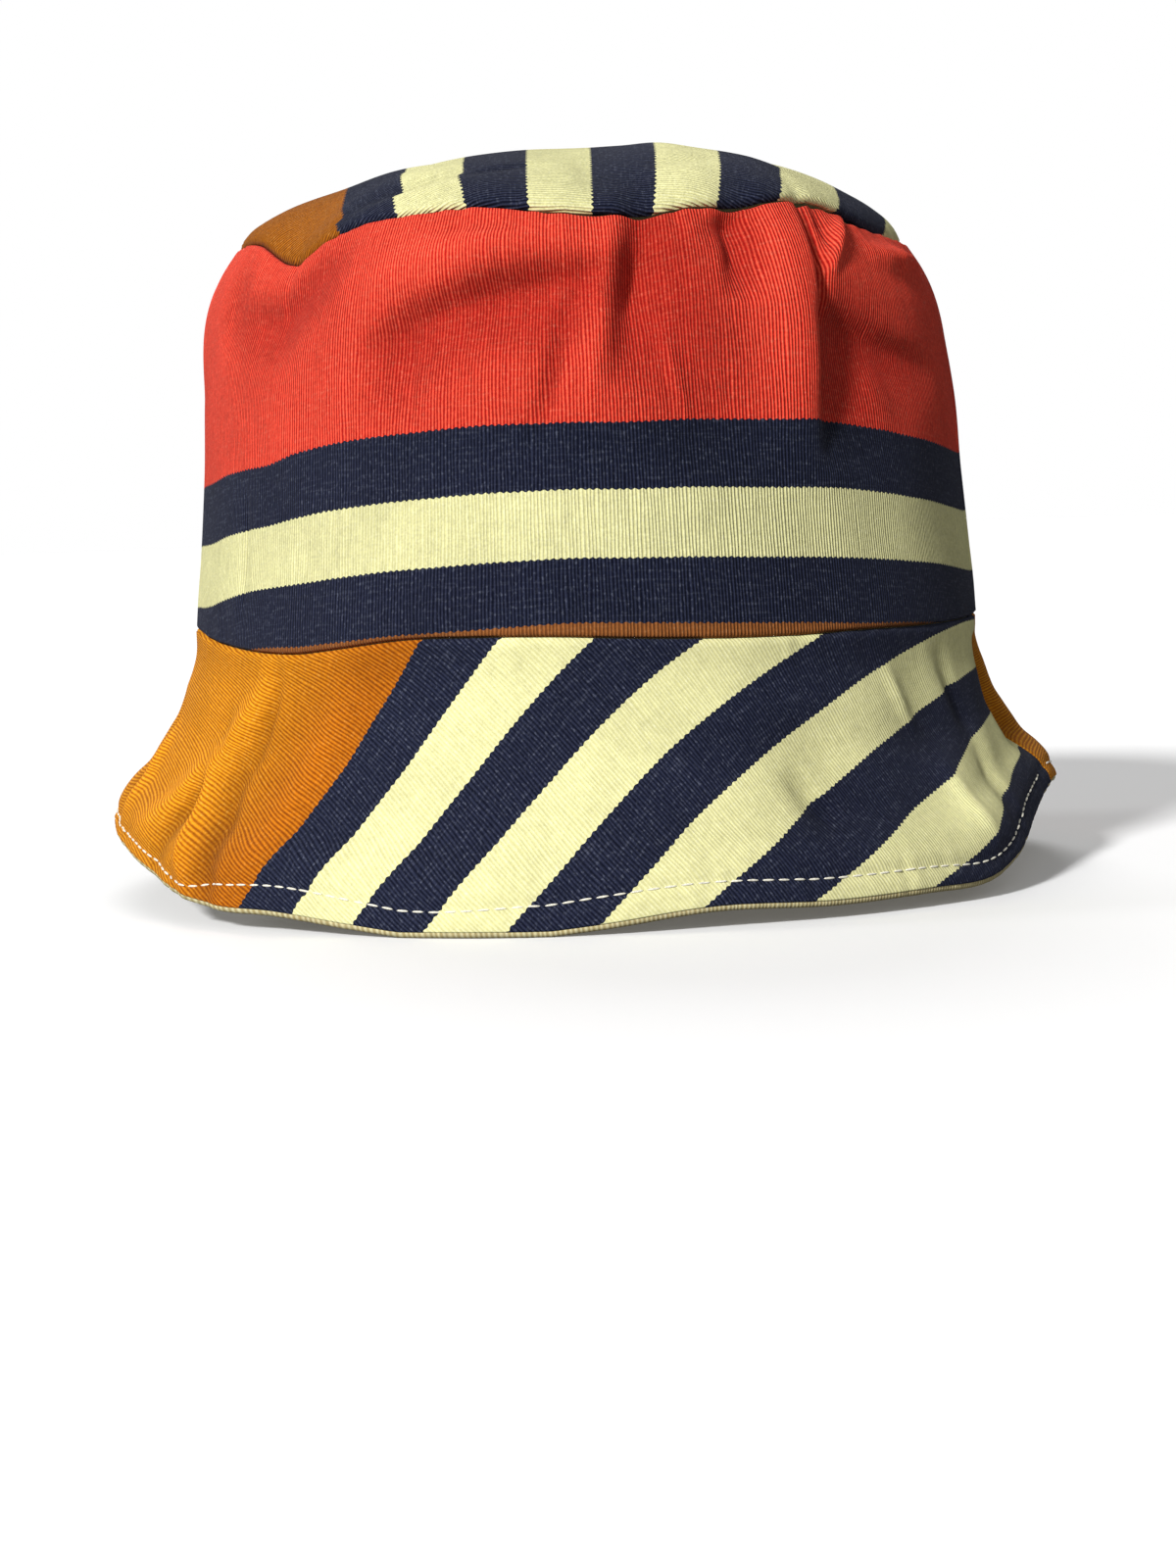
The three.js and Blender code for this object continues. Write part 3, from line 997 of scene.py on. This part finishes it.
    def _tint(self, uneven: dict[Grain, Value], folds: Value) -> Value:
        """Works out how light the cloth is: painted light where its folds stand up, painted shade where
        they sink.

        Args:
            uneven: The cloth's unevenness.
            folds: How far its folds stand up.

        Returns:
            What its colours are multiplied by.
        """
        # Painted light on fold crests and painted shade in fold hollows.
        painted_fold_tint = folds.ramp(*self.painted_light_folds) * self.painted_fold_light
        spots = uneven[Grain.SPOTS] * self.grain
        dyeing = uneven[Grain.SLUB] * self.slub_tint + uneven[Grain.CLOUD] * self.cloud_tint
        level = self.middle_tint - self.painted_light_middle * self.painted_fold_light - self.grain / 2
        return dyeing + uneven[Grain.NAP] * self.nap_tint + painted_fold_tint + spots + level


@dataclass(frozen=True)
class Thread:
    """Twisted cotton sewing thread."""

    name: str
    colour: Colour = daylight(236, 232, 214)
    strand_scale: float = 3200.0
    strand_range: tuple[float, float] = (0.35, 0.65)
    dustiness: float = 0.7
    relief: float = 0.08

    def material(self) -> bpy.types.Material:
        """Builds the material, which reads Object coordinates.

        Returns:
            The material.
        """
        made = bpy.data.materials.new(self.name)
        made.use_nodes = True
        graph = Graph(made.node_tree)
        place = graph.node("ShaderNodeTexCoord", {}, {}).outputs["Object"]
        strands = graph.noise(place, self.strand_scale)
        dusty = tuple(self.dustiness * part for part in self.colour)
        tint = graph.mix(strands.ramp(*self.strand_range), dusty, self.colour)
        bump = graph.node(
            "ShaderNodeBump", {}, {"Strength": 0.5, "Distance": self.relief * MM, "Height": strands}
        )
        shader = graph.node(
            "ShaderNodeBsdfPrincipled",
            {},
            {"Base Color": tint, "Roughness": 0.6, "Sheen Weight": 0.2, "Normal": bump.outputs[0]},
        )
        graph.node("ShaderNodeOutputMaterial", {}, {0: shader.outputs[0]})
        return made


STRIPE = 13.2


def striped(first: int, yarns: tuple[Yarn, ...]) -> tuple[tuple[float, Yarn], ...]:
    """Lays stripes of equal width beside one another.

    Args:
        first: The place, in stripes, where the first of them ends.
        yarns: The yarn of each.

    Returns:
        Where each of them ends, and its yarn.
    """
    return tuple(((first + number) * STRIPE, yarn) for number, yarn in enumerate(yarns))


TIP_CLOTH = RibbedCloth(
    "striped_tip_cotton",
    striped(-4, (Yarn.BRONZE, *(Yarn.NAVY, Yarn.CREAM) * 4, Yarn.NAVY)),
    Yarn.CREAM,
    grain=0.9,
    # A strong painted shade between the ribs.
    contrast=1.35,
    tooth=0.45,
    relief=0.26,
)
BAND_CLOTH = RibbedCloth(
    "striped_band_cotton",
    # The first stripe is ochre, darkened as painted shade where the band turns in at its foot.
    ((3.0, Yarn.SHADED_OCHRE), (15.8, Yarn.NAVY), (29.3, Yarn.CREAM), (42.5, Yarn.NAVY)),
    Yarn.CORAL,
    # Painted light on fold crests and painted shade in fold hollows.
    painted_fold_light=0.36,
    grain=0.6,
    # A strong painted shade between the ribs.
    contrast=1.35,
    relief=0.28,
)
BRIM_CLOTH = RibbedCloth(
    "striped_brim_cotton",
    striped(1, (Yarn.OCHRE, *(Yarn.NAVY, Yarn.CREAM) * 4)) + ((11 * STRIPE, Yarn.NAVY),),
    Yarn.CREAM,
    deepening=(-28.0, 10.0, Yarn.OCHRE, Yarn.AMBER),
    # Painted light on fold crests and painted shade in fold hollows.
    painted_fold_light=0.42,
    relief=0.1,
)
REVERSE_CLOTH = RibbedCloth("plain_reverse_cotton", (), Yarn.KHAKI, relief=0.12)
STITCH_THREAD = Thread("white_topstitch_thread")


class Half(Enum):
    """The two halves of the band and the brim: from the left to the right side seam and back."""

    FRONT = (-100.0, 80.0, 0.0)
    BACK = (80.0, 260.0, 180.0)

    @property
    def start(self) -> float:
        """Azimuth of the half's first side seam."""
        return self.value[0]

    @property
    def end(self) -> float:
        """Azimuth of the half's last side seam."""
        return self.value[1]

    @property
    def middle(self) -> float:
        """Azimuth that the cloth's pattern is laid from."""
        return self.value[2]

    def azimuth_at(self, share: Array) -> Array:
        """Returns the azimuth at shares of the way from the first seam to the last."""
        return self.start + (self.end - self.start) * share

    def from_seam(self, azimuth: Array) -> Array:
        """Returns the distance from the nearer side seam."""
        return np.minimum(azimuth - self.start, self.end - azimuth) * FORM.degree


def crowded(share: Array, amount: float) -> Array:
    """Crowds evenly spaced places towards both ends.

    Args:
        share: Places between 0 and 1.
        amount: 0 leaves them even, and 1 crowds them as a cosine does.

    Returns:
        The new places, between 0 and 1.
    """
    return share + amount * ((1 - np.cos(np.pi * share)) / 2 - share)


@dataclass
class ClothPiece:
    """One sewn piece of cloth: a grid that is laid on the hat's form and given its thickness."""

    name: str
    node: str
    slot: str
    flat: tuple[float, float]
    area: float
    columns: int
    rows: int
    thickness: float
    face: RibbedCloth
    lining: RibbedCloth
    rim_bevel: float = 0.0
    rim_lined: bool = False
    rim_segments: int = 3
    rim_angle: float = 60.0
    held: str = "stretched"
    made: bpy.types.Object | None = field(default=None, init=False)

    def lay(self, round_share: Array, up_share: Array) -> Laid:
        """Lays the cloth.

        Args:
            round_share: Places round the hat, from 0 to 1.
            up_share: Places up the piece, from 0 to 1.

        Returns:
            The points on the hat, the places on the flat cloth, along and across its stripes, and
            how far the folds move the cloth.
        """
        raise NotImplementedError

    def build(self) -> bpy.types.Object:
        """Builds the mesh and gives it its thickness.

        Returns:
            The piece's object.
        """
        shape = bmesh.new()
        bmesh.ops.create_grid(shape, x_segments=self.columns, y_segments=self.rows, size=0.5)
        mesh = bpy.data.meshes.new(self.name)
        shape.to_mesh(mesh)
        shape.free()
        grid = np.empty(len(mesh.vertices) * 3)
        mesh.vertices.foreach_get("co", grid)
        shares = grid.reshape(-1, 3) + 0.5
        points, flat, folds = self.lay(shares[:, 0], shares[:, 1])
        mesh.vertices.foreach_set("co", (points * MM).ravel())
        corners = np.empty(len(mesh.loops), int)
        mesh.loops.foreach_get("vertex_index", corners)
        mesh.uv_layers.new(name=CLOTH_MAP).data.foreach_set("uv", (flat * MM)[corners].ravel())
        # The folds' heights, from which the material paints light and shade on the folds.
        mesh.attributes.new(FOLD_ATTRIBUTE, "FLOAT", "POINT").data.foreach_set("value", folds)
        self.made = bpy.data.objects.new(self.name, mesh)
        bpy.context.scene.collection.objects.link(self.made)
        self.close()
        self._thicken()
        return self.made

    def close(self) -> None:
        """Joins the grid's edges where a piece has no seam. Most pieces have nothing to join."""

    def _thicken(self) -> None:
        """Adds the wall, its rounded rim and smooth shading."""
        self.made.data.shade_smooth()
        wall = self.made.modifiers.new("wall", "SOLIDIFY")
        wall.thickness = self.thickness * MM
        wall.offset = -1.0
        wall.use_even_offset = True
        wall.material_offset = 1
        wall.material_offset_rim = int(self.rim_lined)
        if self.rim_bevel:
            rim = self.made.modifiers.new("rim", "BEVEL")
            rim.width = self.rim_bevel * MM
            rim.segments = self.rim_segments
            rim.limit_method = "ANGLE"
            rim.angle_limit = math.radians(self.rim_angle)

    def dress(self, finishes: dict[str, bpy.types.Material]) -> None:
        """Gives the piece its cloths and its place in the model.

        Args:
            finishes: The materials by name.
        """
        self.made.data.materials.append(finishes[self.face.name])
        self.made.data.materials.append(finishes[self.lining.name])
        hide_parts(self.node)
        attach(self.made, "root")

    def declare(self, trims: list[bpy.types.Object]) -> None:
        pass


@dataclass(frozen=True)
class Pleat:
    """A pleat that runs slanting from the tip's edge at the left, with some cloth pushed under it.

    It starts near the edge, and lies further from it with each degree. It reaches some degrees to
    both sides of its middle and fades out there.
    """

    depth: float = 1.9
    start: float = -46.0
    start_height: float = 1.4
    climb: float = 0.46
    softness: float = 0.4
    middle: float = -37.0
    half_width: float = 17.0
    fade: float = 3.0

    def shift(self, azimuth: Array, from_edge: Array) -> Array:
        """Works out how far the cloth is pushed under the pleat.

        Args:
            azimuth: Azimuths of the places.
            from_edge: Their distances from the tip's edge.

        Returns:
            The shift across the stripes.
        """
        behind = from_edge - self.start_height - self.climb * (azimuth - self.start)
        beside = np.abs(azimuth - self.middle) - self.half_width
        before = 1 - np.tanh(behind / self.softness)
        return self.depth / 4 * before * (1 - np.tanh(beside / self.fade))


@dataclass
class CrownTip(ClothPiece):
    """The oval tip. Its edge lies a little over the band.

    It is calm where its ends are joined at the back. Its rows crowd towards the edge.
    """

    edge_turn: float = 1.0
    crowding: float = 0.35
    calm_width: float = 14.0
    edge_degree: float = 1.5
    pucker: Ripple = Ripple(9.0, 0.35, 1.3)
    pucker_reach: float = 5.0
    uneven: Ripple = Ripple(34.0, 0.35, 2.0)
    uneven_start: float = 20.0
    overhang_reach: float = 3.0
    stripe_shift: float = 4.2
    pleat: Pleat = Pleat()
    join_distance: float = 1e-6

    def lay(self, round_share: Array, up_share: Array) -> Laid:
        """Lays the tip from its seam, at 0, to its middle, at 1.

        Args:
            round_share: Places round the hat, from 0 to 1.
            up_share: Places from the seam to the middle.

        Returns:
            The points, the places on the flat cloth, and how far the folds move the cloth.
        """
        azimuth = TURN * round_share - TURN / 2
        reach = 1 - up_share
        reach = reach + self.crowding * (np.sin(np.pi * reach / 2) - reach)
        from_edge = (1 - reach) * FORM.tip_radius
        calm = 1 - bell(TURN / 2 - np.abs(azimuth), self.calm_width)
        pucker = self.pucker.at(azimuth * self.edge_degree) * fading(from_edge, self.pucker_reach)
        uneven = self.uneven.at((azimuth + self.uneven_start) * reach) * np.sin(np.pi * reach)
        proud = SmoothTable(TIP_OVERHANG, TURN)(azimuth)[0] * fading(from_edge, self.overhang_reach)
        offset = proud + calm * (pucker + uneven) - turned_in(from_edge, self.edge_turn)
        flat = self.flat_place(azimuth, reach, from_edge)
        return FORM.tip(azimuth, reach, offset), flat, FORM.tip_folds(azimuth, reach)

    def flat_place(self, azimuth: Array, reach: Array, from_edge: Array) -> Array:
        """Works out the places on the flat cloth.

        Args:
            azimuth: Azimuths of the places.
            reach: Their parts of the oval's reach.
            from_edge: Their distances from the tip's edge.

        Returns:
            The places, along and across the stripes.
        """
        nearly_none = 1e-6
        stretch = FORM.length_across(reach)
        level = np.maximum(reach, nearly_none) * (FORM.tip_half_width + FORM.tip_half_depth) / 2
        out = reach * np.where(reach > 10 * nearly_none, stretch / level, 1.0)
        angle = np.radians(azimuth)
        across = FORM.tip_half_width * np.sin(angle) * out - self.stripe_shift
        across = across + self.pleat.shift(azimuth, from_edge)
        return np.stack([-FORM.tip_half_depth * np.cos(angle) * out, across], axis=-1)

    def close(self) -> None:
        """Joins the ends of the rings and the points at the tip's middle."""
        shape = bmesh.new()
        shape.from_mesh(self.made.data)
        bmesh.ops.remove_doubles(shape, verts=shape.verts, dist=self.join_distance)
        shape.to_mesh(self.made.data)
        shape.free()


@dataclass
class CrownBand(ClothPiece):
    """A half of the band. Its columns and rows crowd towards the seams."""

    half: Half = Half.FRONT
    seam_turn: float = 0.9
    foot_turn: float = 0.6
    side_crowding: float = 0.35
    crowding: float = 0.45
    pucker: Ripple = Ripple(11.0, 0.45, 0.7)
    pucker_reach: float = 9.0
    gather: Ripple = Ripple(14.0, 0.22, 3.1)
    gather_reach: float = 6.0
    uneven: Ripple = Ripple(46.0, 0.3, 4.4)
    uneven_slant: float = 0.8

    def lay(self, round_share: Array, up_share: Array) -> Laid:
        """Lays the band from the brim's seam, at 0, to the tip's, at 1.

        Args:
            round_share: Places round the half, from 0 to 1.
            up_share: Places up the band.

        Returns:
            The points, the places on the flat cloth, and how far the folds move the cloth.
        """
        azimuth = self.half.azimuth_at(crowded(round_share, self.side_crowding))
        part = crowded(up_share, self.crowding)
        up = FORM.length_up(part)
        down = FORM.length_up(np.ones_like(part)) - up
        top_turn = SmoothTable(BAND_TURN, TURN)(wrapped(azimuth))[0]
        turned = turned_in(down, top_turn) + turned_in(up, self.foot_turn)
        turned = turned + turned_in(self.half.from_seam(azimuth), self.seam_turn)
        place = azimuth * FORM.degree
        pucker = self.pucker.at(place) * fading(down, self.pucker_reach)
        gather = self.gather.at(place) * fading(up, self.gather_reach)
        uneven = self.uneven.at(place + self.uneven_slant * up) * np.sin(np.pi * part)
        points = FORM.band(azimuth, part, pucker + gather + uneven - turned)
        along = FORM.length_round(azimuth - self.half.middle)
        across = up + SmoothTable(STRIPE_SAG)(azimuth)[0]
        return points, np.stack([along, across], axis=-1), FORM.band_folds(azimuth, part)


@dataclass
class BrimPiece(ClothPiece):
    """A half of the brim, cut from the cloth as part of a ring that lies slanting on its stripes."""

    half: Half = Half.FRONT
    seam_turn: float = 0.9
    side_crowding: float = 0.3
    inner_radius: float = 153.26
    width: float = 55.4
    slant: float = 47.9
    stripe_start: float = 38.49
    stitch_depth: float = 0.45
    stitch_reach: float = 1.1
    edge_degree: float = 2.0
    pucker: Ripple = Ripple(8.0, 0.3, 5.9)
    pucker_reach: float = 5.0
    pucker_below: float = 1.0
    gather: Ripple = Ripple(12.0, 0.3, 8.1)
    gather_reach: float = 6.0
    uneven: Ripple = Ripple(40.0, 0.35, 6.2)
    uneven_slant: float = 30.0

    def azimuth_at(self, round_share: Array) -> Array:
        """Returns the azimuth at places round the piece."""
        return self.half.azimuth_at(crowded(round_share, self.side_crowding))

    def flat_place(self, azimuth: Array, part: Array) -> Array:
        """Works out the places on the flat cloth.

        Args:
            azimuth: Azimuths of the places.
            part: Their parts of the brim's drop.

        Returns:
            The places, along and across the stripes.
        """
        angle = FORM.length_round(azimuth - self.half.middle) / self.inner_radius
        radius = self.inner_radius + self.width * part
        x = radius * np.sin(angle)
        y = self.inner_radius - radius * np.cos(angle)
        slant = math.radians(self.slant)
        across = x * math.cos(slant) - y * math.sin(slant) + self.stripe_start
        along = x * math.sin(slant) + y * math.cos(slant)
        return np.stack([along, across], axis=-1)

    def relief(self, azimuth: Array, part: Array) -> Array:
        """Works out the stitching's groove, the puckers beside it and the turns at the seams.

        Args:
            azimuth: Azimuths of the places.
            part: Their parts of the brim's drop.

        Returns:
            How far the cloth is moved there.
        """
        line = SmoothTable(STITCH_LINE, TURN)(wrapped(azimuth))[0]
        drop = FORM.drop(azimuth)
        place = azimuth * FORM.degree
        from_line = (part - line) * drop
        groove = -self.stitch_depth * bell(from_line, self.stitch_reach)
        pucker = self.pucker.at(azimuth * self.edge_degree)
        pucker = pucker * bell(from_line - self.pucker_below, self.pucker_reach)
        gather = self.gather.at(place) * fading(part * drop, self.gather_reach)
        uneven = self.uneven.at(place + self.uneven_slant * part) * np.sin(np.pi * part)
        turned = turned_in(self.half.from_seam(azimuth), self.seam_turn)
        return groove + pucker + gather + uneven - turned


@dataclass
class BrimCloth(BrimPiece):
    """The striped cloth of the brim. Its turned edge ends just above the reverse cloth's."""

    lip: float = 1.3
    top_turn: float = 0.8

    def lay(self, round_share: Array, up_share: Array) -> Laid:
        """Lays the cloth from the edge, at 0, to the crown's seam, at 1.

        Args:
            round_share: Places round the half, from 0 to 1.
            up_share: Places up the brim.

        Returns:
            The points, the places on the flat cloth, and how far the folds move the cloth.
        """
        azimuth = self.azimuth_at(round_share)
        drop = FORM.drop(azimuth)
        part = (1 - up_share) * (1 - self.lip / drop)
        offset = self.relief(azimuth, part) - turned_in(part * drop, self.top_turn)
        points = FORM.brim(azimuth, part, offset)
        return points, self.flat_place(azimuth, part), FORM.brim_folds(azimuth, part)


@dataclass
class BrimReverse(BrimPiece):
    """The reverse cloth under the brim. It is folded up at the edge, below the striped cloth."""

    depth: float = 1.6
    fold_radius: float = 0.15
    fold_rows: int = 8
    fold_height: float = 1.35
    foot_clearance: float = 0.12
    lip_share: float = 0.06

    def lay(self, round_share: Array, up_share: Array) -> Laid:
        """Lays the cloth from the end of its fold, at 0, round it and up to the crown, at 1.

        Args:
            round_share: Places round the half, from 0 to 1.
            up_share: Places along the cloth.

        Returns:
            The points, the places on the flat cloth, and how far the folds move the cloth.
        """
        azimuth = self.azimuth_at(round_share)
        row = np.rint(up_share * self.rows)
        drop = FORM.drop(azimuth)
        bottom = self.thickness + self.fold_radius + self.foot_clearance
        turn = np.clip((row - 1) / (self.fold_rows - 2), 0, 1) * np.pi
        from_edge = bottom - self.fold_radius * np.sin(turn)
        depth = self.depth - self.fold_radius * (1 + np.cos(turn))
        lip = row < 1
        from_edge = np.where(lip, self.fold_height, from_edge)
        rise = np.clip((row - self.fold_rows + 1) / (self.rows - self.fold_rows + 1), 0, 1)
        from_edge = np.where(row >= self.fold_rows, bottom + rise * (drop - bottom), from_edge)
        part = 1 - from_edge / drop
        flat = self.flat_place(azimuth, np.where(lip, part + self.lip_share, part))
        points = FORM.brim(azimuth, part, self.relief(azimuth, part) - depth)
        return points, flat, np.zeros_like(part)


@dataclass
class Topstitching:
    """A row of machine stitches beside the brim's edge."""

    name: str
    slot: str
    half: Half
    depth: float
    pitch: float = 3.3
    length: float = 2.6
    width: float = 0.48
    line_points: int = 3001
    end_points: int = 20
    direction_reach: float = 0.5
    sides: int = 8
    rings: int = 6
    made: bpy.types.Object | None = field(default=None, init=False)

    def build(self, cloth: BrimPiece) -> bpy.types.Object:
        """Lays one stitch after another along the line.

        Args:
            cloth: The piece that they are sewn to.

        Returns:
            The object that they make.
        """
        azimuths = np.linspace(self.half.start, self.half.end, self.line_points)
        azimuths = azimuths[self.end_points : -self.end_points]
        line = SmoothTable(STITCH_LINE, TURN)(wrapped(azimuths))[0]
        lift = cloth.relief(azimuths, line) - self.depth
        points = FORM.brim(azimuths, line, lift)
        outward = FORM.brim(azimuths, line, lift + 1.0) - points
        lengths = np.concatenate([[0.0], np.cumsum(np.linalg.norm(np.diff(points, axis=0), axis=1))])
        shape = bmesh.new()
        for at in np.arange(self.pitch, lengths[-1] - self.pitch, self.pitch):
            start, end = at - self.direction_reach, at + self.direction_reach
            middle, before, after, normal = (
                Vector([float(np.interp(place, lengths, track[:, axis])) for axis in range(3)])
                for place, track in ((at, points), (start, points), (end, points), (at, outward))
            )
            self._stitch(shape, middle, after - before, normal)
        mesh = bpy.data.meshes.new(self.name)
        shape.to_mesh(mesh)
        shape.free()
        mesh.shade_smooth()
        self.made = bpy.data.objects.new(self.name, mesh)
        bpy.context.scene.collection.objects.link(self.made)
        return self.made

    def _stitch(self, shape: bmesh.types.BMesh, middle: Vector, run: Vector, normal: Vector) -> None:
        """Adds one stitch, a thread that dips into the cloth at both ends.

        Args:
            shape: The mesh that it is added to.
            middle: Its middle, in millimetres.
            run: The line's direction there.
            normal: The cloth's outward direction there.
        """
        ahead = run.normalized()
        side = normal.cross(ahead).normalized()
        turn = Matrix((ahead, side, ahead.cross(side))).transposed().to_4x4()
        size = Matrix.Diagonal((self.length / 2 * MM, self.width / 2 * MM, self.width / 2 * MM, 1.0))
        place = Matrix.Translation(middle * MM) @ turn @ size
        bmesh.ops.create_uvsphere(
            shape, u_segments=self.sides, v_segments=self.rings, radius=1.0, matrix=place
        )

    def dress(self, finishes: dict[str, bpy.types.Material]) -> None:
        """Gives the stitches their thread and their place in the model.

        Args:
            finishes: The materials by name.
        """
        self.made.data.materials.append(finishes[STITCH_THREAD.name])
        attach(self.made, "root")


@dataclass(frozen=True)
class Sun:
    """A light from far away: its strength, how wide it looks, and where it stands, in degrees."""

    name: str
    strength: float
    angle: float
    azimuth: float
    elevation: float

    def build(self) -> None:
        """Builds the light."""
        lamp = bpy.data.lights.new(self.name, "SUN")
        lamp.energy = self.strength
        lamp.angle = math.radians(self.angle)
        turn, rise = math.radians(self.azimuth), math.radians(self.elevation)
        level = math.cos(rise)
        to_light = Vector((math.sin(turn) * level, -math.cos(turn) * level, math.sin(rise)))
        light = bpy.data.objects.new(self.name, lamp)
        light.rotation_euler = to_light.to_track_quat("Z", "Y").to_euler()
        light.location = to_light
        bpy.context.scene.collection.objects.link(light)


SUNS = (
    Sun("key_light", 4.05, angle=8.0, azimuth=-29.0, elevation=28.0),
    Sun("side_light", 0.85, angle=16.0, azimuth=-92.0, elevation=16.0),
    Sun("front_light", 0.68, angle=50.0, azimuth=14.0, elevation=22.0),
    Sun("back_light", 1.0, angle=30.0, azimuth=190.0, elevation=40.0),
)


@dataclass(frozen=True)
class Studio:
    """The pale floor, the lights and the camera."""

    camera_place: tuple[float, float, float] = (-0.0008, -0.740, 0.077)
    pitch: float = 4.44
    roll: float = 2.0
    focal_pixels: float = 3351.0
    frame_height: float = 1600.0
    sensor: float = 36.0
    fill: float = 0.13
    floor_shade: float = 0.9
    floor_glow: float = 0.1
    floor_radius: float = 40.0
    floor_sides: int = 96

    def build(self) -> None:
        """Builds it all."""
        self._build_floor()
        for sun in SUNS:
            sun.build()
        self._build_world()
        self._build_camera()

    def _build_floor(self) -> None:
        """Builds the floor as one wide disc."""
        shape = bmesh.new()
        bmesh.ops.create_circle(
            shape, cap_ends=True, radius=self.floor_radius, segments=self.floor_sides
        )
        mesh = bpy.data.meshes.new("studio_floor")
        shape.to_mesh(mesh)
        shape.free()
        floor = bpy.data.objects.new("studio_floor", mesh)
        bpy.context.scene.collection.objects.link(floor)
        paint = bpy.data.materials.new("pale_floor")
        paint.use_nodes = True
        graph = Graph(paint.node_tree)
        shade = (self.floor_shade,) * 3
        shader = graph.node(
            "ShaderNodeBsdfPrincipled",
            {},
            {
                "Base Color": shade,
                "Roughness": 0.9,
                "Emission Color": shade,
                "Emission Strength": self.floor_glow,
            },
        )
        graph.node("ShaderNodeOutputMaterial", {}, {0: shader.outputs[0]})
        mesh.materials.append(paint)
        floor.visible_diffuse = False

    def _build_world(self) -> None:
        """Builds a white backdrop that lights the hat only softly."""
        world = bpy.data.worlds.new("studio")
        world.use_nodes = True
        graph = Graph(world.node_tree)
        seen = graph.value(graph.node("ShaderNodeLightPath", {}, {}), "Is Camera Ray")
        strength = seen * (1.0 - self.fill) + self.fill
        sky = graph.node("ShaderNodeBackground", {}, {"Color": (1, 1, 1, 1), "Strength": strength})
        graph.node("ShaderNodeOutputWorld", {}, {0: sky.outputs[0]})
        bpy.context.scene.world = world

    def _build_camera(self) -> None:
        """Builds the camera at the photograph's angle and sets the plain view of its colours."""
        lens = bpy.data.cameras.new("camera")
        lens.sensor_width = self.sensor
        lens.lens = self.focal_pixels * self.sensor / self.frame_height
        lens.clip_start = 0.01
        camera = bpy.data.objects.new("camera", lens)
        tilt = Matrix.Rotation(math.radians(90.0 - self.pitch), 4, "X")
        roll = Matrix.Rotation(math.radians(-self.roll), 4, "Z")
        camera.matrix_world = Matrix.Translation(self.camera_place) @ tilt @ roll
        bpy.context.scene.collection.objects.link(camera)
        bpy.context.scene.camera = camera
        bpy.context.scene.view_settings.view_transform = "Standard"


def hat_pieces() -> tuple[list[ClothPiece], list[tuple[Topstitching, BrimPiece]]]:
    """Cuts the hat's pieces.

    Returns:
        The pieces of cloth, and the rows of topstitching with the cloth that each lies on.
    """
    tip = CrownTip(
        name="tip_panel",
        node="crown_tip",
        slot="tip_cloth",
        flat=(0.158, 0.184),
        area=0.0228,
        columns=300,
        rows=70,
        thickness=1.8,
        face=TIP_CLOTH,
        lining=REVERSE_CLOTH,
    )
    cloths: list[ClothPiece] = [tip]
    stitches: list[tuple[Topstitching, BrimPiece]] = []
    for half in Half:
        side = half.name.lower()
        band = CrownBand(
            name=f"band_panel_{side}",
            node=f"crown_band_{side}",
            slot="band_cloth",
            flat=(0.296, 0.092),
            area=0.0250,
            columns=270,
            rows=92,
            thickness=1.8,
            face=BAND_CLOTH,
            lining=REVERSE_CLOTH,
            rim_lined=True,
            half=half,
        )
        brim = BrimCloth(
            name=f"brim_cloth_{side}",
            node=f"brim_{side}",
            slot="brim_cloth",
            flat=(0.342, 0.121),
            area=0.0195,
            columns=300,
            rows=54,
            thickness=0.95,
            face=BRIM_CLOTH,
            lining=BRIM_CLOTH,
            rim_bevel=0.35,
            held="draped",
            half=half,
        )
        reverse = BrimReverse(
            name=f"brim_reverse_{side}",
            node=f"brim_underside_{side}",
            slot="reverse_cloth",
            flat=(0.342, 0.123),
            area=0.0199,
            columns=300,
            rows=56,
            thickness=0.9,
            face=REVERSE_CLOTH,
            lining=REVERSE_CLOTH,
            held="draped",
            half=half,
        )
        upper = Topstitching(f"topstitch_{side}", "brim_cloth", half, depth=-0.08)
        under = Topstitching(f"understitch_{side}", "reverse_cloth", half, depth=2.55)
        cloths += [band, brim, reverse]
        stitches += [(upper, brim), (under, reverse)]
    return cloths, stitches


def main() -> None:
    """Builds the studio and the hat, and reports each piece."""
    logging.basicConfig(level=logging.INFO, format="%(name)s: %(message)s")
    Studio().build()
    cloths, stitches = hat_pieces()
    kinds = (TIP_CLOTH, BAND_CLOTH, BRIM_CLOTH, REVERSE_CLOTH, STITCH_THREAD)
    finishes = {kind.name: kind.material() for kind in kinds}
    trims: dict[str, list[bpy.types.Object]] = {}
    for row, cloth in stitches:
        row.build(cloth)
        row.dress(finishes)
        trims.setdefault(cloth.name, []).append(row.made)
        LOG.info("%s: %d faces", row.name, len(row.made.data.polygons))
    for cloth in cloths:
        cloth.build()
        cloth.dress(finishes)
        cloth.declare(trims.get(cloth.name, []))
        LOG.info("%s: %d faces", cloth.name, len(cloth.made.data.polygons))


if __name__ == "__main__":
    main()
